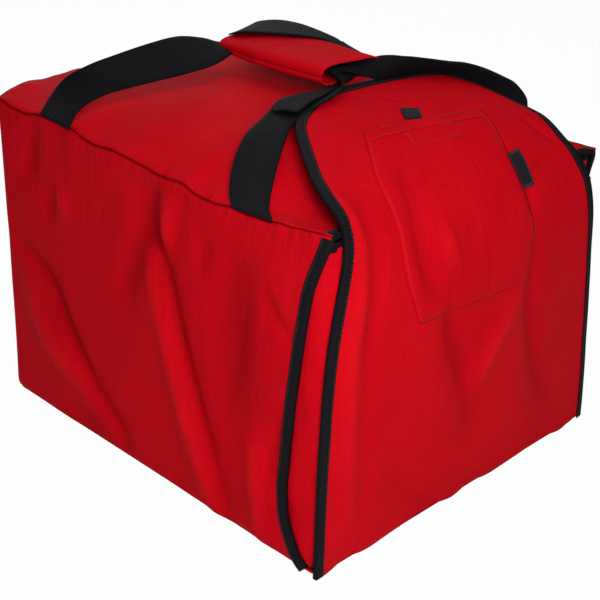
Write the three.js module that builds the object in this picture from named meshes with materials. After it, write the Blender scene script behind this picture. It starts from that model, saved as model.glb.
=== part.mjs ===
// Insulated pizza delivery bag: a padded box of red nylon with a domed top, open at the
// front. A padded flap comes up from the bottom front edge, closes the opening and folds
// back over the dome. Two webbing loops meet in a padded wrap above the dome.
// Millimetres, +Z up, the flap towards -Y, the origin under the middle of the bag.

import * as THREE from 'three';

// Body
const HALF_WIDTH = 243.5; // middle to the outside of a side panel
const BODY_DEPTH = 490; // back panel to the edges of the opening
const SEAM_HEIGHT = 362; // floor to the seam round the top
const CROWN_RISE = 52; // that seam to the highest point of the dome
const CREST_SETBACK = 186; // opening to the line where the dome is highest
const CROWN_POWER = 3; // how square the dome's shoulders are
const REAR_SHARE = 0.35; // share of the dome's height that is left at the back seam
const CORNER_RADIUS = 22; // lower corners of the side panels
const SIDE_SWELL = 6; // how far a side panel bellies out
const EDGE_DIP = 22; // how far the opening's side edges bow back
const EDGE_FLAT = 15; // flat strip of the top along the opening
const EDGE_EASE = 60; // length in which the top behind that strip takes up its slope

// Layers, from the outside in
const SKIN = 1.5; // coated nylon
const PADDING = 8; // insulation of the body
const LINING = 1.2; // wipe-clean lining
const BOARD = 2; // stiffener under the floor lining
const SEWN_GAP = 0.3; // between pieces that are sewn face to face
const DRAPE_GAP = 0.8; // the same for small pieces and tape on a curved face

// Binding tape
const TAPE = 1;
const TAPE_WIDTH = 14;

// Flap
const FLAP_INSET = 21.5; // side of the body to the flap's taped edge
const FLAP_PADDING = 5;
const FLAP_FOOT = 3.5; // floor to the flap's lower edge, which is its hinge line
const TONGUE_REACH = 184; // fold to the end of the tongue, measured along Y
const TONGUE_END_HALF = 114; // half width of the tongue where its corners begin
const TONGUE_TAPER = 1.5; // how late its sides run in
const TONGUE_CORNER = 34;

// Hook and loop tape
const GRIP_TAPE = 1.3;
const HOOK_HALF_WIDTH = 92;
const HOOK_DEPTH = 34;
const HOOK_SETBACK = 18; // end of the tongue to its hook strip
const LOOP_LEFT = -106;
const LOOP_RIGHT = 98;
const LOOP_BACK = 31; // end of the tongue to the loop patch's rear edge
const LOOP_FRONT = 108; // how far the loop patch runs on under the tongue

// Order pocket on the flap, which crosses the fold
const POCKET = 1.5;
const POCKET_WIDTH = 222;
const POCKET_LEFT = -138; // left end on the fold
const POCKET_DROP = 127; // fold to the lower edge
const POCKET_LEAN = 0.08; // sideways run per millimetre down
const POCKET_RISE = 102; // fold to the mouth
const POCKET_HEM = 1.2;
const POCKET_HEM_DEPTH = 14;
const TAB_WIDTH = 22; // closing patch above the mouth
const TAB_DEPTH = 20;
const TAB_OFFSET = 100; // left end of the mouth to the patch
const TAB_CLEARANCE = 1;
const LABEL_WIDTH = 18;
const LABEL_LENGTH = 48;
const LABEL = 0.8;
const LABEL_TUCK = 7; // how much of its width lies on the pocket
const LABEL_SETBACK = 2; // fold to the label

// Side wings, tucked in behind the flap
const WING_ROOM = 8; // between the opening's edge and the flap
const WING = 3;
const WING_WIDTH = 68;
const WING_FOOT = 20;
const WING_TOP = 335;
const WING_RADIUS = 30;
const WING_CLEARANCE = 2; // flap to wing
const GUSSET = 1.5;
const GUSSET_INSET = 4; // outside of the side panel to the gusset's sewn edge
const GUSSET_SWELL = 3;
const GUSSET_MARGIN = 15; // top and bottom of the opening to the gusset

// Carrying loops and their wrap
const WEBBING = 2;
const WEBBING_WIDTH = 50;
const WRAP_X = -16;
const WRAP_FRONT = -58;
const WRAP_LENGTH = 168;
const WRAP_WIDTH = 86;
const WRAP_EDGE = 2; // padding left along a long edge
const WRAP_CROWN = 5.7; // extra padding in the middle
const WRAP_COVER = 1;
const WRAP_SPINE = 1;
const FINGER_GAP = 16; // dome to the underside of the wrap
const CLOSURE_WIDTH = 14;
const CLOSURE_MARGIN = 2;
const LOOP_TAIL = 4; // webbing that shows past each end of the wrap
const LEG_TURN = 27; // bend of a loop where it leaves the wrap
const LEG_SEAM = 146; // middle of the bag to where a leg is sewn in, along Y
const LEG_SEAM_LEFT_FRONT = 157;
const LEG_SEAM_LIFT = 0.9;
const LEG_EASE = 2.6; // how late a leg comes down to the dome
const LEG_ARCH_LEFT_FRONT = 9; // how far its middle stands up
const LEG_ARCH_RIGHT_FRONT = 8;
const LEG_ARCH_RIGHT_REAR = 20;
const LEG_ROWS = 20;

// Sag of the soft body: its right side leans in at the front top corner and out below it
const LEAN_IN = 30;
const LEAN_OUT = 7;
const LEAN_DOWN = 9;
const LEAN_START = 100; // middle to where the top begins to follow

// Worked out from the sizes above
const BODY_STACK = SKIN + PADDING + LINING + 2 * SEWN_GAP;
const FLAP_STACK = SKIN + FLAP_PADDING + LINING + 2 * SEWN_GAP;
const BOUND_EDGE = SEWN_GAP + TAPE;
const Y_BACK = (BODY_DEPTH + BOUND_EDGE + WING_ROOM + FLAP_STACK + SEWN_GAP + POCKET) / 2;
const Y_OPENING = Y_BACK - BODY_DEPTH;
const Y_FLAP_IN = Y_OPENING - BOUND_EDGE - WING_ROOM;
const Y_FLAP = Y_FLAP_IN - FLAP_STACK;
const Y_TONGUE_END = Y_FLAP + TONGUE_REACH;
const Y_CREST = Y_OPENING + CREST_SETBACK;
const FLAP_EDGE = HALF_WIDTH - FLAP_INSET - BOUND_EDGE;
const TONGUE_LIFT = FLAP_STACK + 2 * DRAPE_GAP + 2 * (GRIP_TAPE + SEWN_GAP);
const FOLD_HEIGHT = SEAM_HEIGHT + TONGUE_LIFT;
const WING_AXIS_X = HALF_WIDTH - BODY_STACK - BOUND_EDGE - WING / 2 - 2 * SEWN_GAP;
const WING_Y = Y_FLAP_IN + WING_CLEARANCE;
const WEBBING_ROOM = 2 * WEBBING + 3 * SEWN_GAP;
const WRAP_HALF = WRAP_EDGE + WRAP_CROWN + SEWN_GAP + WRAP_COVER;
const WRAP_Y = WRAP_FRONT + WRAP_LENGTH / 2;
const WRAP_Z = SEAM_HEIGHT + CROWN_RISE + FINGER_GAP + WRAP_HALF;

// Each wall of the body has three layers, each given by its depth below the outside
const LAYERS = [
  { name: 'outer', inset: 0, thickness: SKIN },
  { name: 'insulation', inset: SKIN + SEWN_GAP, thickness: PADDING },
  { name: 'lining', inset: SKIN + PADDING + 2 * SEWN_GAP, thickness: LINING },
];

const FLAP_LAYERS = [
  { name: 'outer', inset: 0, thickness: SKIN },
  { name: 'insulation', inset: SKIN + SEWN_GAP, thickness: FLAP_PADDING },
  { name: 'lining', inset: SKIN + FLAP_PADDING + 2 * SEWN_GAP, thickness: LINING },
];

const fabric = (color, roughness = 0.85) =>
  new THREE.MeshStandardMaterial({ color, roughness, metalness: 0 });

const MATERIALS = {
  outer: fabric(0xc4121c, 0.7),
  insulation: fabric(0xe4e4de, 0.95),
  lining: fabric(0x8f959a, 0.5),
  binding: fabric(0x17191c),
  webbing: fabric(0x16181a),
  hookAndLoop: fabric(0x101113, 0.95),
  board: fabric(0x3a3c3e, 0.6),
  label: fabric(0x1a1a1e),
};

const { lerp, clamp } = THREE.MathUtils;
const point = (x, y, z) => new THREE.Vector3(x, y, z);

// Turns a closed set of triangles the right way out and makes a geometry of it.
function closedGeometry(points, triangles) {
  let volume = 0;
  for (let i = 0; i < triangles.length; i += 3) {
    const [a, b, c] = [0, 1, 2].map((k) => points[triangles[i + k]]);
    volume += a.dot(b.clone().cross(c));
  }
  if (volume < 0) triangles.reverse();
  const geometry = new THREE.BufferGeometry().setFromPoints(points);
  geometry.setIndex(triangles);
  geometry.computeVertexNormals();
  return geometry;
}

// A curved slab: front and back give its two faces for u and v from 0 to 1. Its
// diagonals all point to the middle, so slabs on one grid nest however they curve.
function slab(columns, rows, front, back) {
  const points = [];
  const triangles = [];
  const width = columns + 1;
  const face = width * (rows + 1);
  for (const surface of [front, back]) {
    for (let j = 0; j <= rows; j += 1) {
      for (let i = 0; i <= columns; i += 1) points.push(surface(i / columns, j / rows));
    }
  }
  for (let j = 0; j < rows; j += 1) {
    for (let i = 0; i < columns; i += 1) {
      const a = j * width + i;
      const [b, c, d] = [a + 1, a + width + 1, a + width];
      const outward = i < columns / 2 === j < rows / 2;
      const pair = outward ? [a, b, c, a, c, d] : [b, c, d, b, d, a];
      triangles.push(...pair, ...pair.map((k) => face + k).reverse());
    }
  }
  const rim = [];
  for (let i = 0; i < columns; i += 1) rim.push(i);
  for (let j = 0; j < rows; j += 1) rim.push(j * width + columns);
  for (let i = columns; i > 0; i -= 1) rim.push(rows * width + i);
  for (let j = rows; j > 0; j -= 1) rim.push(j * width);
  rim.forEach((a, k) => {
    const b = rim[(k + 1) % rim.length];
    triangles.push(b, a, face + a, b, face + a, face + b);
  });
  return closedGeometry(points, triangles);
}

// A section of [a, b] points carried along a path: place puts each of them at t, 0 to 1.
function loft(section, steps, place) {
  const points = [];
  const triangles = [];
  const count = section.length;
  for (let s = 0; s <= steps; s += 1) {
    for (const [a, b] of section) points.push(place(s / steps, a, b));
  }
  for (let s = 0; s < steps; s += 1) {
    for (let i = 0; i < count; i += 1) {
      const a = s * count + i;
      const b = s * count + ((i + 1) % count);
      triangles.push(a, b, b + count, a, b + count, a + count);
    }
  }
  const outline = section.map(([a, b]) => new THREE.Vector2(a, b));
  const clockwise = THREE.ShapeUtils.isClockWise(outline);
  const last = steps * count;
  for (const [a, b, c] of THREE.ShapeUtils.triangulateShape(outline, [])) {
    const [p, q, r] = clockwise ? [a, c, b] : [a, b, c];
    triangles.push(p, r, q, last + p, last + q, last + r);
  }
  return closedGeometry(points, triangles);
}

// Tape folded round an edge of the given thickness: a is measured in from the edge and
// b down from the outside.
function tapeSection(stack, gap = SEWN_GAP) {
  const outside = gap + TAPE;
  return [
    [TAPE_WIDTH, -outside], [-BOUND_EDGE, -outside], [-BOUND_EDGE, stack + outside],
    [TAPE_WIDTH, stack + outside], [TAPE_WIDTH, stack + gap],
    [-SEWN_GAP, stack + gap], [-SEWN_GAP, -gap], [TAPE_WIDTH, -gap],
  ];
}

function roundedRectangle(width, height, radius) {
  const shape = new THREE.Shape();
  const [x, y] = [width / 2, height / 2];
  shape.moveTo(-x + radius, -y);
  shape.lineTo(x - radius, -y).absarc(x - radius, -y + radius, radius, -Math.PI / 2, 0);
  shape.lineTo(x, y - radius).absarc(x - radius, y - radius, radius, 0, Math.PI / 2);
  shape.lineTo(-x + radius, y);
  shape.absarc(-x + radius, y - radius, radius, Math.PI / 2, Math.PI);
  shape.lineTo(-x, -y + radius);
  shape.absarc(-x + radius, -y + radius, radius, Math.PI, Math.PI * 1.5);
  return shape;
}

const extrude = (shape, depth) =>
  new THREE.ExtrudeGeometry(shape, { depth, bevelEnabled: false, curveSegments: 5 });

function addMesh(group, name, geometry, material, position = [0, 0, 0]) {
  const mesh = new THREE.Mesh(geometry, material);
  mesh.name = name;
  mesh.position.set(...position);
  group.add(mesh);
  return mesh;
}

// Grid of the domed top. Its outermost columns and its rear row are flat in section, so
// that layers cut back from them still nest.
const TOP_COLUMNS = 14;
const TOP_ROWS = 13;
const SHOULDER_X = HALF_WIDTH * (1 - 2 / TOP_COLUMNS);
const REAR_Y = lerp(Y_OPENING + EDGE_FLAT, Y_BACK, (TOP_ROWS - 2) / (TOP_ROWS - 1));

function topRow(v) {
  const row = v * TOP_ROWS;
  if (row <= 1) return lerp(Y_OPENING, Y_OPENING + EDGE_FLAT, row);
  return lerp(Y_OPENING + EDGE_FLAT, Y_BACK, (row - 1) / (TOP_ROWS - 1));
}

function crownAcross(x) {
  const reach = Math.min(Math.abs(x), SHOULDER_X);
  const height = 1 - (reach / HALF_WIDTH) ** CROWN_POWER;
  const past = clamp((Math.abs(x) - SHOULDER_X) / (HALF_WIDTH - SHOULDER_X), 0, 1);
  return height * (1 - past);
}

function crownAlong(y) {
  if (y < Y_CREST) {
    const start = Y_OPENING + EDGE_FLAT;
    const run = Math.max(y - start, 0);
    const eased = run < EDGE_EASE ? run ** 2 / (2 * EDGE_EASE) : run - EDGE_EASE / 2;
    return Math.sin((eased / (Y_CREST - start - EDGE_EASE / 2)) * (Math.PI / 2));
  }
  const behind = (Math.min(y, REAR_Y) - Y_CREST) / (Y_BACK - Y_CREST);
  const past = clamp((y - REAR_Y) / (Y_BACK - REAR_Y), 0, 1);
  return lerp(lerp(1, REAR_SHARE, behind ** CROWN_POWER), REAR_SHARE, past);
}

// Height of the outside of the domed top.
const crown = (x, y) => SEAM_HEIGHT + CROWN_RISE * crownAcross(x) * crownAlong(y);

const openingEdgeY = (z) => Y_OPENING + EDGE_DIP * Math.sin((Math.PI * z) / SEAM_HEIGHT);

// Rows of a side panel: its rounded lower corner, then the wall up to the opening's top
// corner, then one more row that ends under the top panel.
const ARC_ROWS = 4;
const WALL_ROWS = 7;
const SIDE_ROWS = ARC_ROWS + WALL_ROWS + 1;
const BOUND_TOP = SEAM_HEIGHT - BODY_STACK - 2 * SEWN_GAP;

// A point of a side panel on one of its rows, at a depth below the outside.
function sidePoint(side, row, inset, top, yAt) {
  let x = HALF_WIDTH - inset;
  let z = row > ARC_ROWS + WALL_ROWS
    ? top : lerp(CORNER_RADIUS, BOUND_TOP, (row - ARC_ROWS) / WALL_ROWS);
  if (row < ARC_ROWS) {
    const angle = (row / ARC_ROWS - 1) * (Math.PI / 2);
    x = HALF_WIDTH - CORNER_RADIUS + (CORNER_RADIUS - inset) * Math.cos(angle);
    z = CORNER_RADIUS + (CORNER_RADIUS - inset) * Math.sin(angle);
  }
  const y = yAt(z);
  const up = clamp((z - CORNER_RADIUS) / (SEAM_HEIGHT - CORNER_RADIUS), 0, 1);
  const back = clamp((y - openingEdgeY(z)) / (Y_BACK - openingEdgeY(z)), 0, 1);
  x += SIDE_SWELL * Math.sin(Math.PI * up) * Math.sin(Math.PI * back);
  return point(side * x, y, z);
}

function sidePanel(side, { inset, thickness }) {
  const top = SEAM_HEIGHT - inset - thickness - SEWN_GAP;
  const face = (depth) => (v, u) => sidePoint(side, u * SIDE_ROWS, depth, top,
    (z) => lerp(openingEdgeY(z), Y_BACK - inset, v));
  return slab(8, SIDE_ROWS, face(inset), face(inset + thickness));
}

function backPanel({ inset, thickness }) {
  const margin = inset + thickness + SEWN_GAP;
  const half = HALF_WIDTH - margin;
  const radius = CORNER_RADIUS - margin;
  const corner = [];
  for (let i = 0; i <= ARC_ROWS; i += 1) {
    const angle = (i / ARC_ROWS - 1) * (Math.PI / 2);
    corner.push([half - radius + radius * Math.cos(angle), CORNER_RADIUS + radius * Math.sin(angle)]);
  }
  const edge = [];
  for (let i = TOP_COLUMNS; i >= 0; i -= 1) {
    const x = clamp(lerp(-HALF_WIDTH, HALF_WIDTH, i / TOP_COLUMNS), -half, half);
    edge.push([x, crown(x, Y_BACK) - margin]);
  }
  const left = [...corner].reverse().map(([x, z]) => [-x, z]);
  const outline = [...corner, ...edge, ...left].map(([x, z]) => new THREE.Vector2(x, z));
  return extrude(new THREE.Shape(outline), thickness).rotateX(Math.PI / 2);
}

function topPanel({ inset, thickness }) {
  const half = HALF_WIDTH - inset;
  const face = (depth) => (u, v) => {
    const x = clamp(lerp(-HALF_WIDTH, HALF_WIDTH, u), -half, half);
    const y = Math.min(topRow(v), Y_BACK - inset);
    return point(x, y, crown(x, y) - depth);
  };
  return slab(TOP_COLUMNS, TOP_ROWS, face(inset), face(inset + thickness));
}

// A flat piece of the floor between two heights and two places along Y.
function floorPiece(group, name, material, low, thickness, front, back) {
  const width = 2 * (HALF_WIDTH - CORNER_RADIUS - SEWN_GAP);
  const shape = roundedRectangle(width, back - front, SEWN_GAP);
  addMesh(group, name, extrude(shape, thickness), material, [0, (front + back) / 2, low]);
}

function addFloor(group) {
  const inside = Y_FLAP_IN + BOUND_EDGE + SEWN_GAP;
  const padding = SKIN + SEWN_GAP;
  const board = padding + PADDING + SEWN_GAP;
  const lining = board + BOARD + SEWN_GAP;
  const back = Y_BACK - BODY_STACK - SEWN_GAP;
  const { outer, insulation } = MATERIALS;
  floorPiece(group, 'outer_bottom', outer, 0, SKIN, Y_FLAP, Y_BACK);
  floorPiece(group, 'insulation_bottom', insulation, padding, PADDING, inside, Y_BACK - padding);
  floorPiece(group, 'base_board', MATERIALS.board, board, BOARD, inside, back);
  floorPiece(group, 'lining_bottom', MATERIALS.lining, lining, LINING, inside, back);
}

function addWalls(group) {
  for (const layer of LAYERS) {
    const material = MATERIALS[layer.name];
    addMesh(group, `${layer.name}_left`, sidePanel(-1, layer), material);
    addMesh(group, `${layer.name}_right`, sidePanel(1, layer), material);
    addMesh(group, `${layer.name}_top`, topPanel(layer), material);
    const back = [0, Y_BACK - layer.inset, 0];
    addMesh(group, `${layer.name}_back`, backPanel(layer), material, back);
  }
}

// Tape round the opening: up each side edge, and between them under the top edge.
function addOpeningBinding(group) {
  const section = tapeSection(BODY_STACK);
  const start = 1; // this row is where the corner has turned clear of the floor
  const steps = ARC_ROWS + WALL_ROWS - start;
  for (const [name, side] of [['binding_left', -1], ['binding_right', 1]]) {
    const tape = loft(section, steps, (t, a, b) =>
      sidePoint(side, start + Math.round(t * steps), b, 0, (z) => openingEdgeY(z) + a));
    addMesh(group, name, tape, MATERIALS.binding);
  }
  const half = HALF_WIDTH - BODY_STACK - BOUND_EDGE - SEWN_GAP;
  const across = loft(section, TOP_COLUMNS, (t, a, b) =>
    point(clamp(lerp(-HALF_WIDTH, HALF_WIDTH, t), -half, half), Y_OPENING + a, SEAM_HEIGHT - b));
  addMesh(group, 'binding_top', across, MATERIALS.binding);
}

// Red strip that runs from the bound edge forward to the root of a side wing.
function gusset(side) {
  const sewn = HALF_WIDTH - GUSSET_INSET;
  const root = WING_AXIS_X + WING / 2 + SEWN_GAP;
  const face = (depth) => (u, v) => {
    const z = lerp(GUSSET_MARGIN, SEAM_HEIGHT - BODY_STACK - GUSSET_MARGIN, v);
    const y = lerp(openingEdgeY(z) - BOUND_EDGE - DRAPE_GAP, WING_Y, u);
    const x = lerp(sewn, root + GUSSET, u) + GUSSET_SWELL * Math.sin(Math.PI * u) - depth;
    return point(side * x, y, z);
  };
  return slab(4, 12, face(0), face(GUSSET));
}

function wing() {
  const height = WING_TOP - WING_FOOT;
  const shape = roundedRectangle(WING_WIDTH, height, WING_RADIUS);
  return extrude(shape, WING).rotateX(Math.PI / 2);
}

function addWings(group) {
  const middle = WING_AXIS_X - WING_WIDTH / 2;
  const z = (WING_TOP + WING_FOOT) / 2;
  for (const [name, side] of [['left', -1], ['right', 1]]) {
    addMesh(group, `gusset_${name}`, gusset(side), MATERIALS.outer);
    addMesh(group, `wing_${name}`, wing(), MATERIALS.outer, [side * middle, WING_Y + WING, z]);
  }
}

// Height of the outside of the tongue, which lies over the dome behind the fold.
const tongueTop = (x, y) => crown(x, y) + TONGUE_LIFT;

// Top of the flap's front at a given depth: the two halves meet on this mitre.
const mitre = (depth) => FOLD_HEIGHT - depth - SEWN_GAP;

const TONGUE_ROWS = 14;
const TONGUE_COLUMNS = 12;

// The first row reaches the opening's edge, the rest crowd towards the tongue's end, where
// its corners turn.
function tongueY(v, depth) {
  const row = v * TONGUE_ROWS;
  if (row <= 1) return lerp(Y_FLAP + depth + SEWN_GAP, Y_OPENING, row);
  const share = (row - 1) / (TONGUE_ROWS - 1);
  return lerp(Y_OPENING, Y_TONGUE_END, Math.sin((share * Math.PI) / 2));
}

// The outermost columns are as wide as the tape, so that it lies flat on them.
function tongueX(u, half) {
  const column = u * TONGUE_COLUMNS;
  const inner = half - TAPE_WIDTH;
  if (column <= 1) return lerp(-half, -inner, column);
  if (column >= TONGUE_COLUMNS - 1) return lerp(half, inner, TONGUE_COLUMNS - column);
  return lerp(-inner, inner, (column - 1) / (TONGUE_COLUMNS - 2));
}

function flapFrontLayer({ inset, thickness }) {
  const face = (depth) => (u, v) =>
    point(tongueX(u, FLAP_EDGE), Y_FLAP + depth, lerp(FLAP_FOOT, mitre(depth), v));
  return slab(TONGUE_COLUMNS, 2, face(inset), face(inset + thickness));
}

function tongueHalfWidth(y) {
  const along = Math.max((y - Y_OPENING) / (Y_TONGUE_END - Y_OPENING), 0);
  const straight = lerp(FLAP_EDGE, TONGUE_END_HALF, along ** TONGUE_TAPER);
  const past = clamp(1 - (Y_TONGUE_END - y) / TONGUE_CORNER, 0, 1);
  return straight - TONGUE_CORNER * (1 - Math.sqrt(1 - past * past));
}

function tongueLayer({ inset, thickness }) {
  const face = (depth) => (u, v) => {
    const y = tongueY(v, depth);
    const x = tongueX(u, tongueHalfWidth(y));
    return point(x, y, tongueTop(x, y) - depth);
  };
  return slab(TONGUE_COLUMNS, TONGUE_ROWS, face(inset), face(inset + thickness));
}

// The tongue's edge as one path: up the left side, along the end and down the right.
const EDGE_STEPS = 2 * TONGUE_ROWS + TONGUE_COLUMNS;

function tongueEdge(step, depth) {
  const past = step - TONGUE_ROWS;
  if (past > 0 && past < TONGUE_COLUMNS) {
    const x = tongueX(past / TONGUE_COLUMNS, tongueHalfWidth(Y_TONGUE_END));
    return new THREE.Vector2(x, Y_TONGUE_END);
  }
  const side = past > 0 ? 1 : -1;
  const row = past > 0 ? EDGE_STEPS - step : step;
  const y = tongueY(row / TONGUE_ROWS, depth);
  return new THREE.Vector2(side * tongueHalfWidth(y), y);
}

function tongueBinding() {
  return loft(tapeSection(FLAP_STACK, DRAPE_GAP), EDGE_STEPS, (t, a, b) => {
    const step = Math.round(t * EDGE_STEPS);
    const here = tongueEdge(step, b);
    const before = tongueEdge(Math.max(step - 1, 0), b);
    const after = tongueEdge(Math.min(step + 1, EDGE_STEPS), b);
    const ahead = after.sub(before).normalize();
    const atFold = step === 0 || step === EDGE_STEPS;
    const x = here.x + ahead.y * a;
    const y = atFold ? here.y : here.y - ahead.x * a;
    return point(x, y, tongueTop(x, y) - b);
  });
}

function addFlap(group) {
  for (const layer of FLAP_LAYERS) {
    const material = MATERIALS[layer.name];
    addMesh(group, `flap_${layer.name}`, flapFrontLayer(layer), material);
    addMesh(group, `tongue_${layer.name}`, tongueLayer(layer), material);
  }
  for (const [name, side] of [['flap_binding_left', -1], ['flap_binding_right', 1]]) {
    const tape = loft(tapeSection(FLAP_STACK), 1, (t, a, b) =>
      point(side * (FLAP_EDGE - a), Y_FLAP + b, lerp(FLAP_FOOT, mitre(b), t)));
    addMesh(group, name, tape, MATERIALS.binding);
  }
  addMesh(group, 'tongue_binding', tongueBinding(), MATERIALS.binding);
}

// A thin patch that follows a surface, from one height above it to another.
function patch(columns, rows, surface, xAt, yAt, low, high) {
  const face = (lift) => (u, v) => {
    const y = yAt(v);
    const x = xAt(u, y);
    return point(x, y, surface(x, y) + lift);
  };
  return slab(columns, rows, face(high), face(low));
}

function addHookAndLoop(group) {
  const hookBack = Y_TONGUE_END - HOOK_SETBACK;
  const hook = patch(10, 3, tongueTop, (u) => lerp(-HOOK_HALF_WIDTH, HOOK_HALF_WIDTH, u),
    (v) => lerp(hookBack - HOOK_DEPTH, hookBack, v),
    -FLAP_STACK - SEWN_GAP - GRIP_TAPE, -FLAP_STACK - SEWN_GAP);
  addMesh(group, 'tongue_hook', hook, MATERIALS.hookAndLoop);
  const loop = patch(10, 9, crown, (u) => lerp(LOOP_LEFT, LOOP_RIGHT, u),
    (v) => lerp(Y_TONGUE_END - LOOP_FRONT, Y_TONGUE_END + LOOP_BACK, v),
    DRAPE_GAP, DRAPE_GAP + GRIP_TAPE);
  addMesh(group, 'loop_patch', loop, MATERIALS.hookAndLoop);
}

// The order pocket is one patch of nylon, sewn on across the fold.
function addPocket(group) {
  const raised = DRAPE_GAP + POCKET;
  const foldLeft = (depth) => POCKET_LEFT + POCKET_LEAN * depth;
  const shape = new THREE.Shape();
  const upper = FOLD_HEIGHT - SEWN_GAP;
  const lower = FOLD_HEIGHT - POCKET_DROP;
  shape.moveTo(foldLeft(0), upper).lineTo(foldLeft(POCKET_DROP), lower);
  shape.lineTo(foldLeft(POCKET_DROP) + POCKET_WIDTH, lower);
  shape.lineTo(foldLeft(0) + POCKET_WIDTH, upper);
  const front = extrude(shape, POCKET).rotateX(Math.PI / 2);
  addMesh(group, 'pocket_lower', front, MATERIALS.outer, [0, Y_FLAP - SEWN_GAP, 0]);

  const mouth = Y_FLAP + POCKET_RISE;
  const across = (u) => lerp(POCKET_LEFT, POCKET_LEFT + POCKET_WIDTH, u);
  const bag = patch(8, 6, tongueTop, across, (v) => lerp(Y_FLAP + SEWN_GAP, mouth, v),
    DRAPE_GAP, raised);
  addMesh(group, 'pocket_upper', bag, MATERIALS.outer);
  const hem = patch(8, 2, tongueTop, across,
    (v) => lerp(mouth - POCKET_HEM_DEPTH, mouth, v),
    raised + DRAPE_GAP, raised + DRAPE_GAP + POCKET_HEM);
  addMesh(group, 'pocket_hem', hem, MATERIALS.outer);

  const tabLeft = POCKET_LEFT + TAB_OFFSET;
  const tab = patch(2, 2, tongueTop, (u) => lerp(tabLeft, tabLeft + TAB_WIDTH, u),
    (v) => mouth + TAB_CLEARANCE + TAB_DEPTH * v, DRAPE_GAP, DRAPE_GAP + GRIP_TAPE);
  addMesh(group, 'pocket_tab', tab, MATERIALS.hookAndLoop);

  const labelLeft = POCKET_LEFT + POCKET_WIDTH - LABEL_TUCK;
  const labelFront = Y_FLAP + LABEL_SETBACK;
  const label = patch(2, 4, tongueTop, (u) => labelLeft + LABEL_WIDTH * u,
    (v) => labelFront + LABEL_LENGTH * v, raised + DRAPE_GAP, raised + DRAPE_GAP + LABEL);
  addMesh(group, 'label', label, MATERIALS.label);
}

// Half of the wrap: a pad that is thick in the middle, and its cover.
function wrapHalf(up, low, high) {
  const face = (share) => (u, v) => {
    const across = 2 * u - 1;
    const full = 1 - Math.abs(across) ** CROWN_POWER;
    const [base, extra] = share;
    const z = up * (base + extra * full);
    return point((across * WRAP_WIDTH) / 2, (v - 0.5) * WRAP_LENGTH, z);
  };
  return slab(12, 2, face(low), face(high));
}

// The wrap lies open along its left edge and turns on the spine at its right edge.
function addWrap(group) {
  const pad = [WRAP_EDGE, WRAP_CROWN];
  const inner = [WRAP_EDGE + SEWN_GAP, WRAP_CROWN];
  const outer = [WRAP_EDGE + SEWN_GAP + WRAP_COVER, WRAP_CROWN];
  const above = [0, 0, WEBBING_ROOM];
  const { outer: nylon, insulation, hookAndLoop } = MATERIALS;
  addMesh(group, 'wrap_pad', wrapHalf(-1, [0, 0], pad), insulation);
  addMesh(group, 'wrap_cover', wrapHalf(-1, inner, outer), nylon);
  addMesh(group, 'wrap_flap_pad', wrapHalf(1, [0, 0], pad), insulation, above);
  addMesh(group, 'wrap_flap_cover', wrapHalf(1, inner, outer), nylon, above);

  const reach = outer[0];
  const spine = new THREE.BoxGeometry(WRAP_SPINE, WRAP_LENGTH, WEBBING_ROOM + 2 * reach);
  addMesh(group, 'wrap_spine', spine, nylon,
    [WRAP_WIDTH / 2 + SEWN_GAP + WRAP_SPINE / 2, 0, WEBBING_ROOM / 2]);

  const tape = (WEBBING_ROOM - 3 * SEWN_GAP) / 2;
  const x = -WRAP_WIDTH / 2 + CLOSURE_MARGIN + CLOSURE_WIDTH / 2;
  const strip = () => new THREE.BoxGeometry(CLOSURE_WIDTH, WRAP_LENGTH - 2 * CLOSURE_MARGIN, tape);
  addMesh(group, 'wrap_loop', strip(), hookAndLoop, [x, 0, SEWN_GAP + tape / 2]);
  addMesh(group, 'wrap_hook', strip(), hookAndLoop, [x, 0, 2 * SEWN_GAP + tape * 1.5]);
}

// The two loops lie one on the other inside the wrap, the left one below.
const webbingFloor = (side) => SEWN_GAP + (side < 0 ? 0 : WEBBING + SEWN_GAP);

function addGripWebbing(group) {
  const length = WRAP_LENGTH + 2 * LOOP_TAIL;
  for (const [name, side] of [['grip_webbing_left', -1], ['grip_webbing_right', 1]]) {
    const band = new THREE.BoxGeometry(WEBBING_WIDTH, length, WEBBING);
    addMesh(group, name, band, MATERIALS.webbing, [0, 0, webbingFloor(side) + WEBBING / 2]);
  }
}

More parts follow.
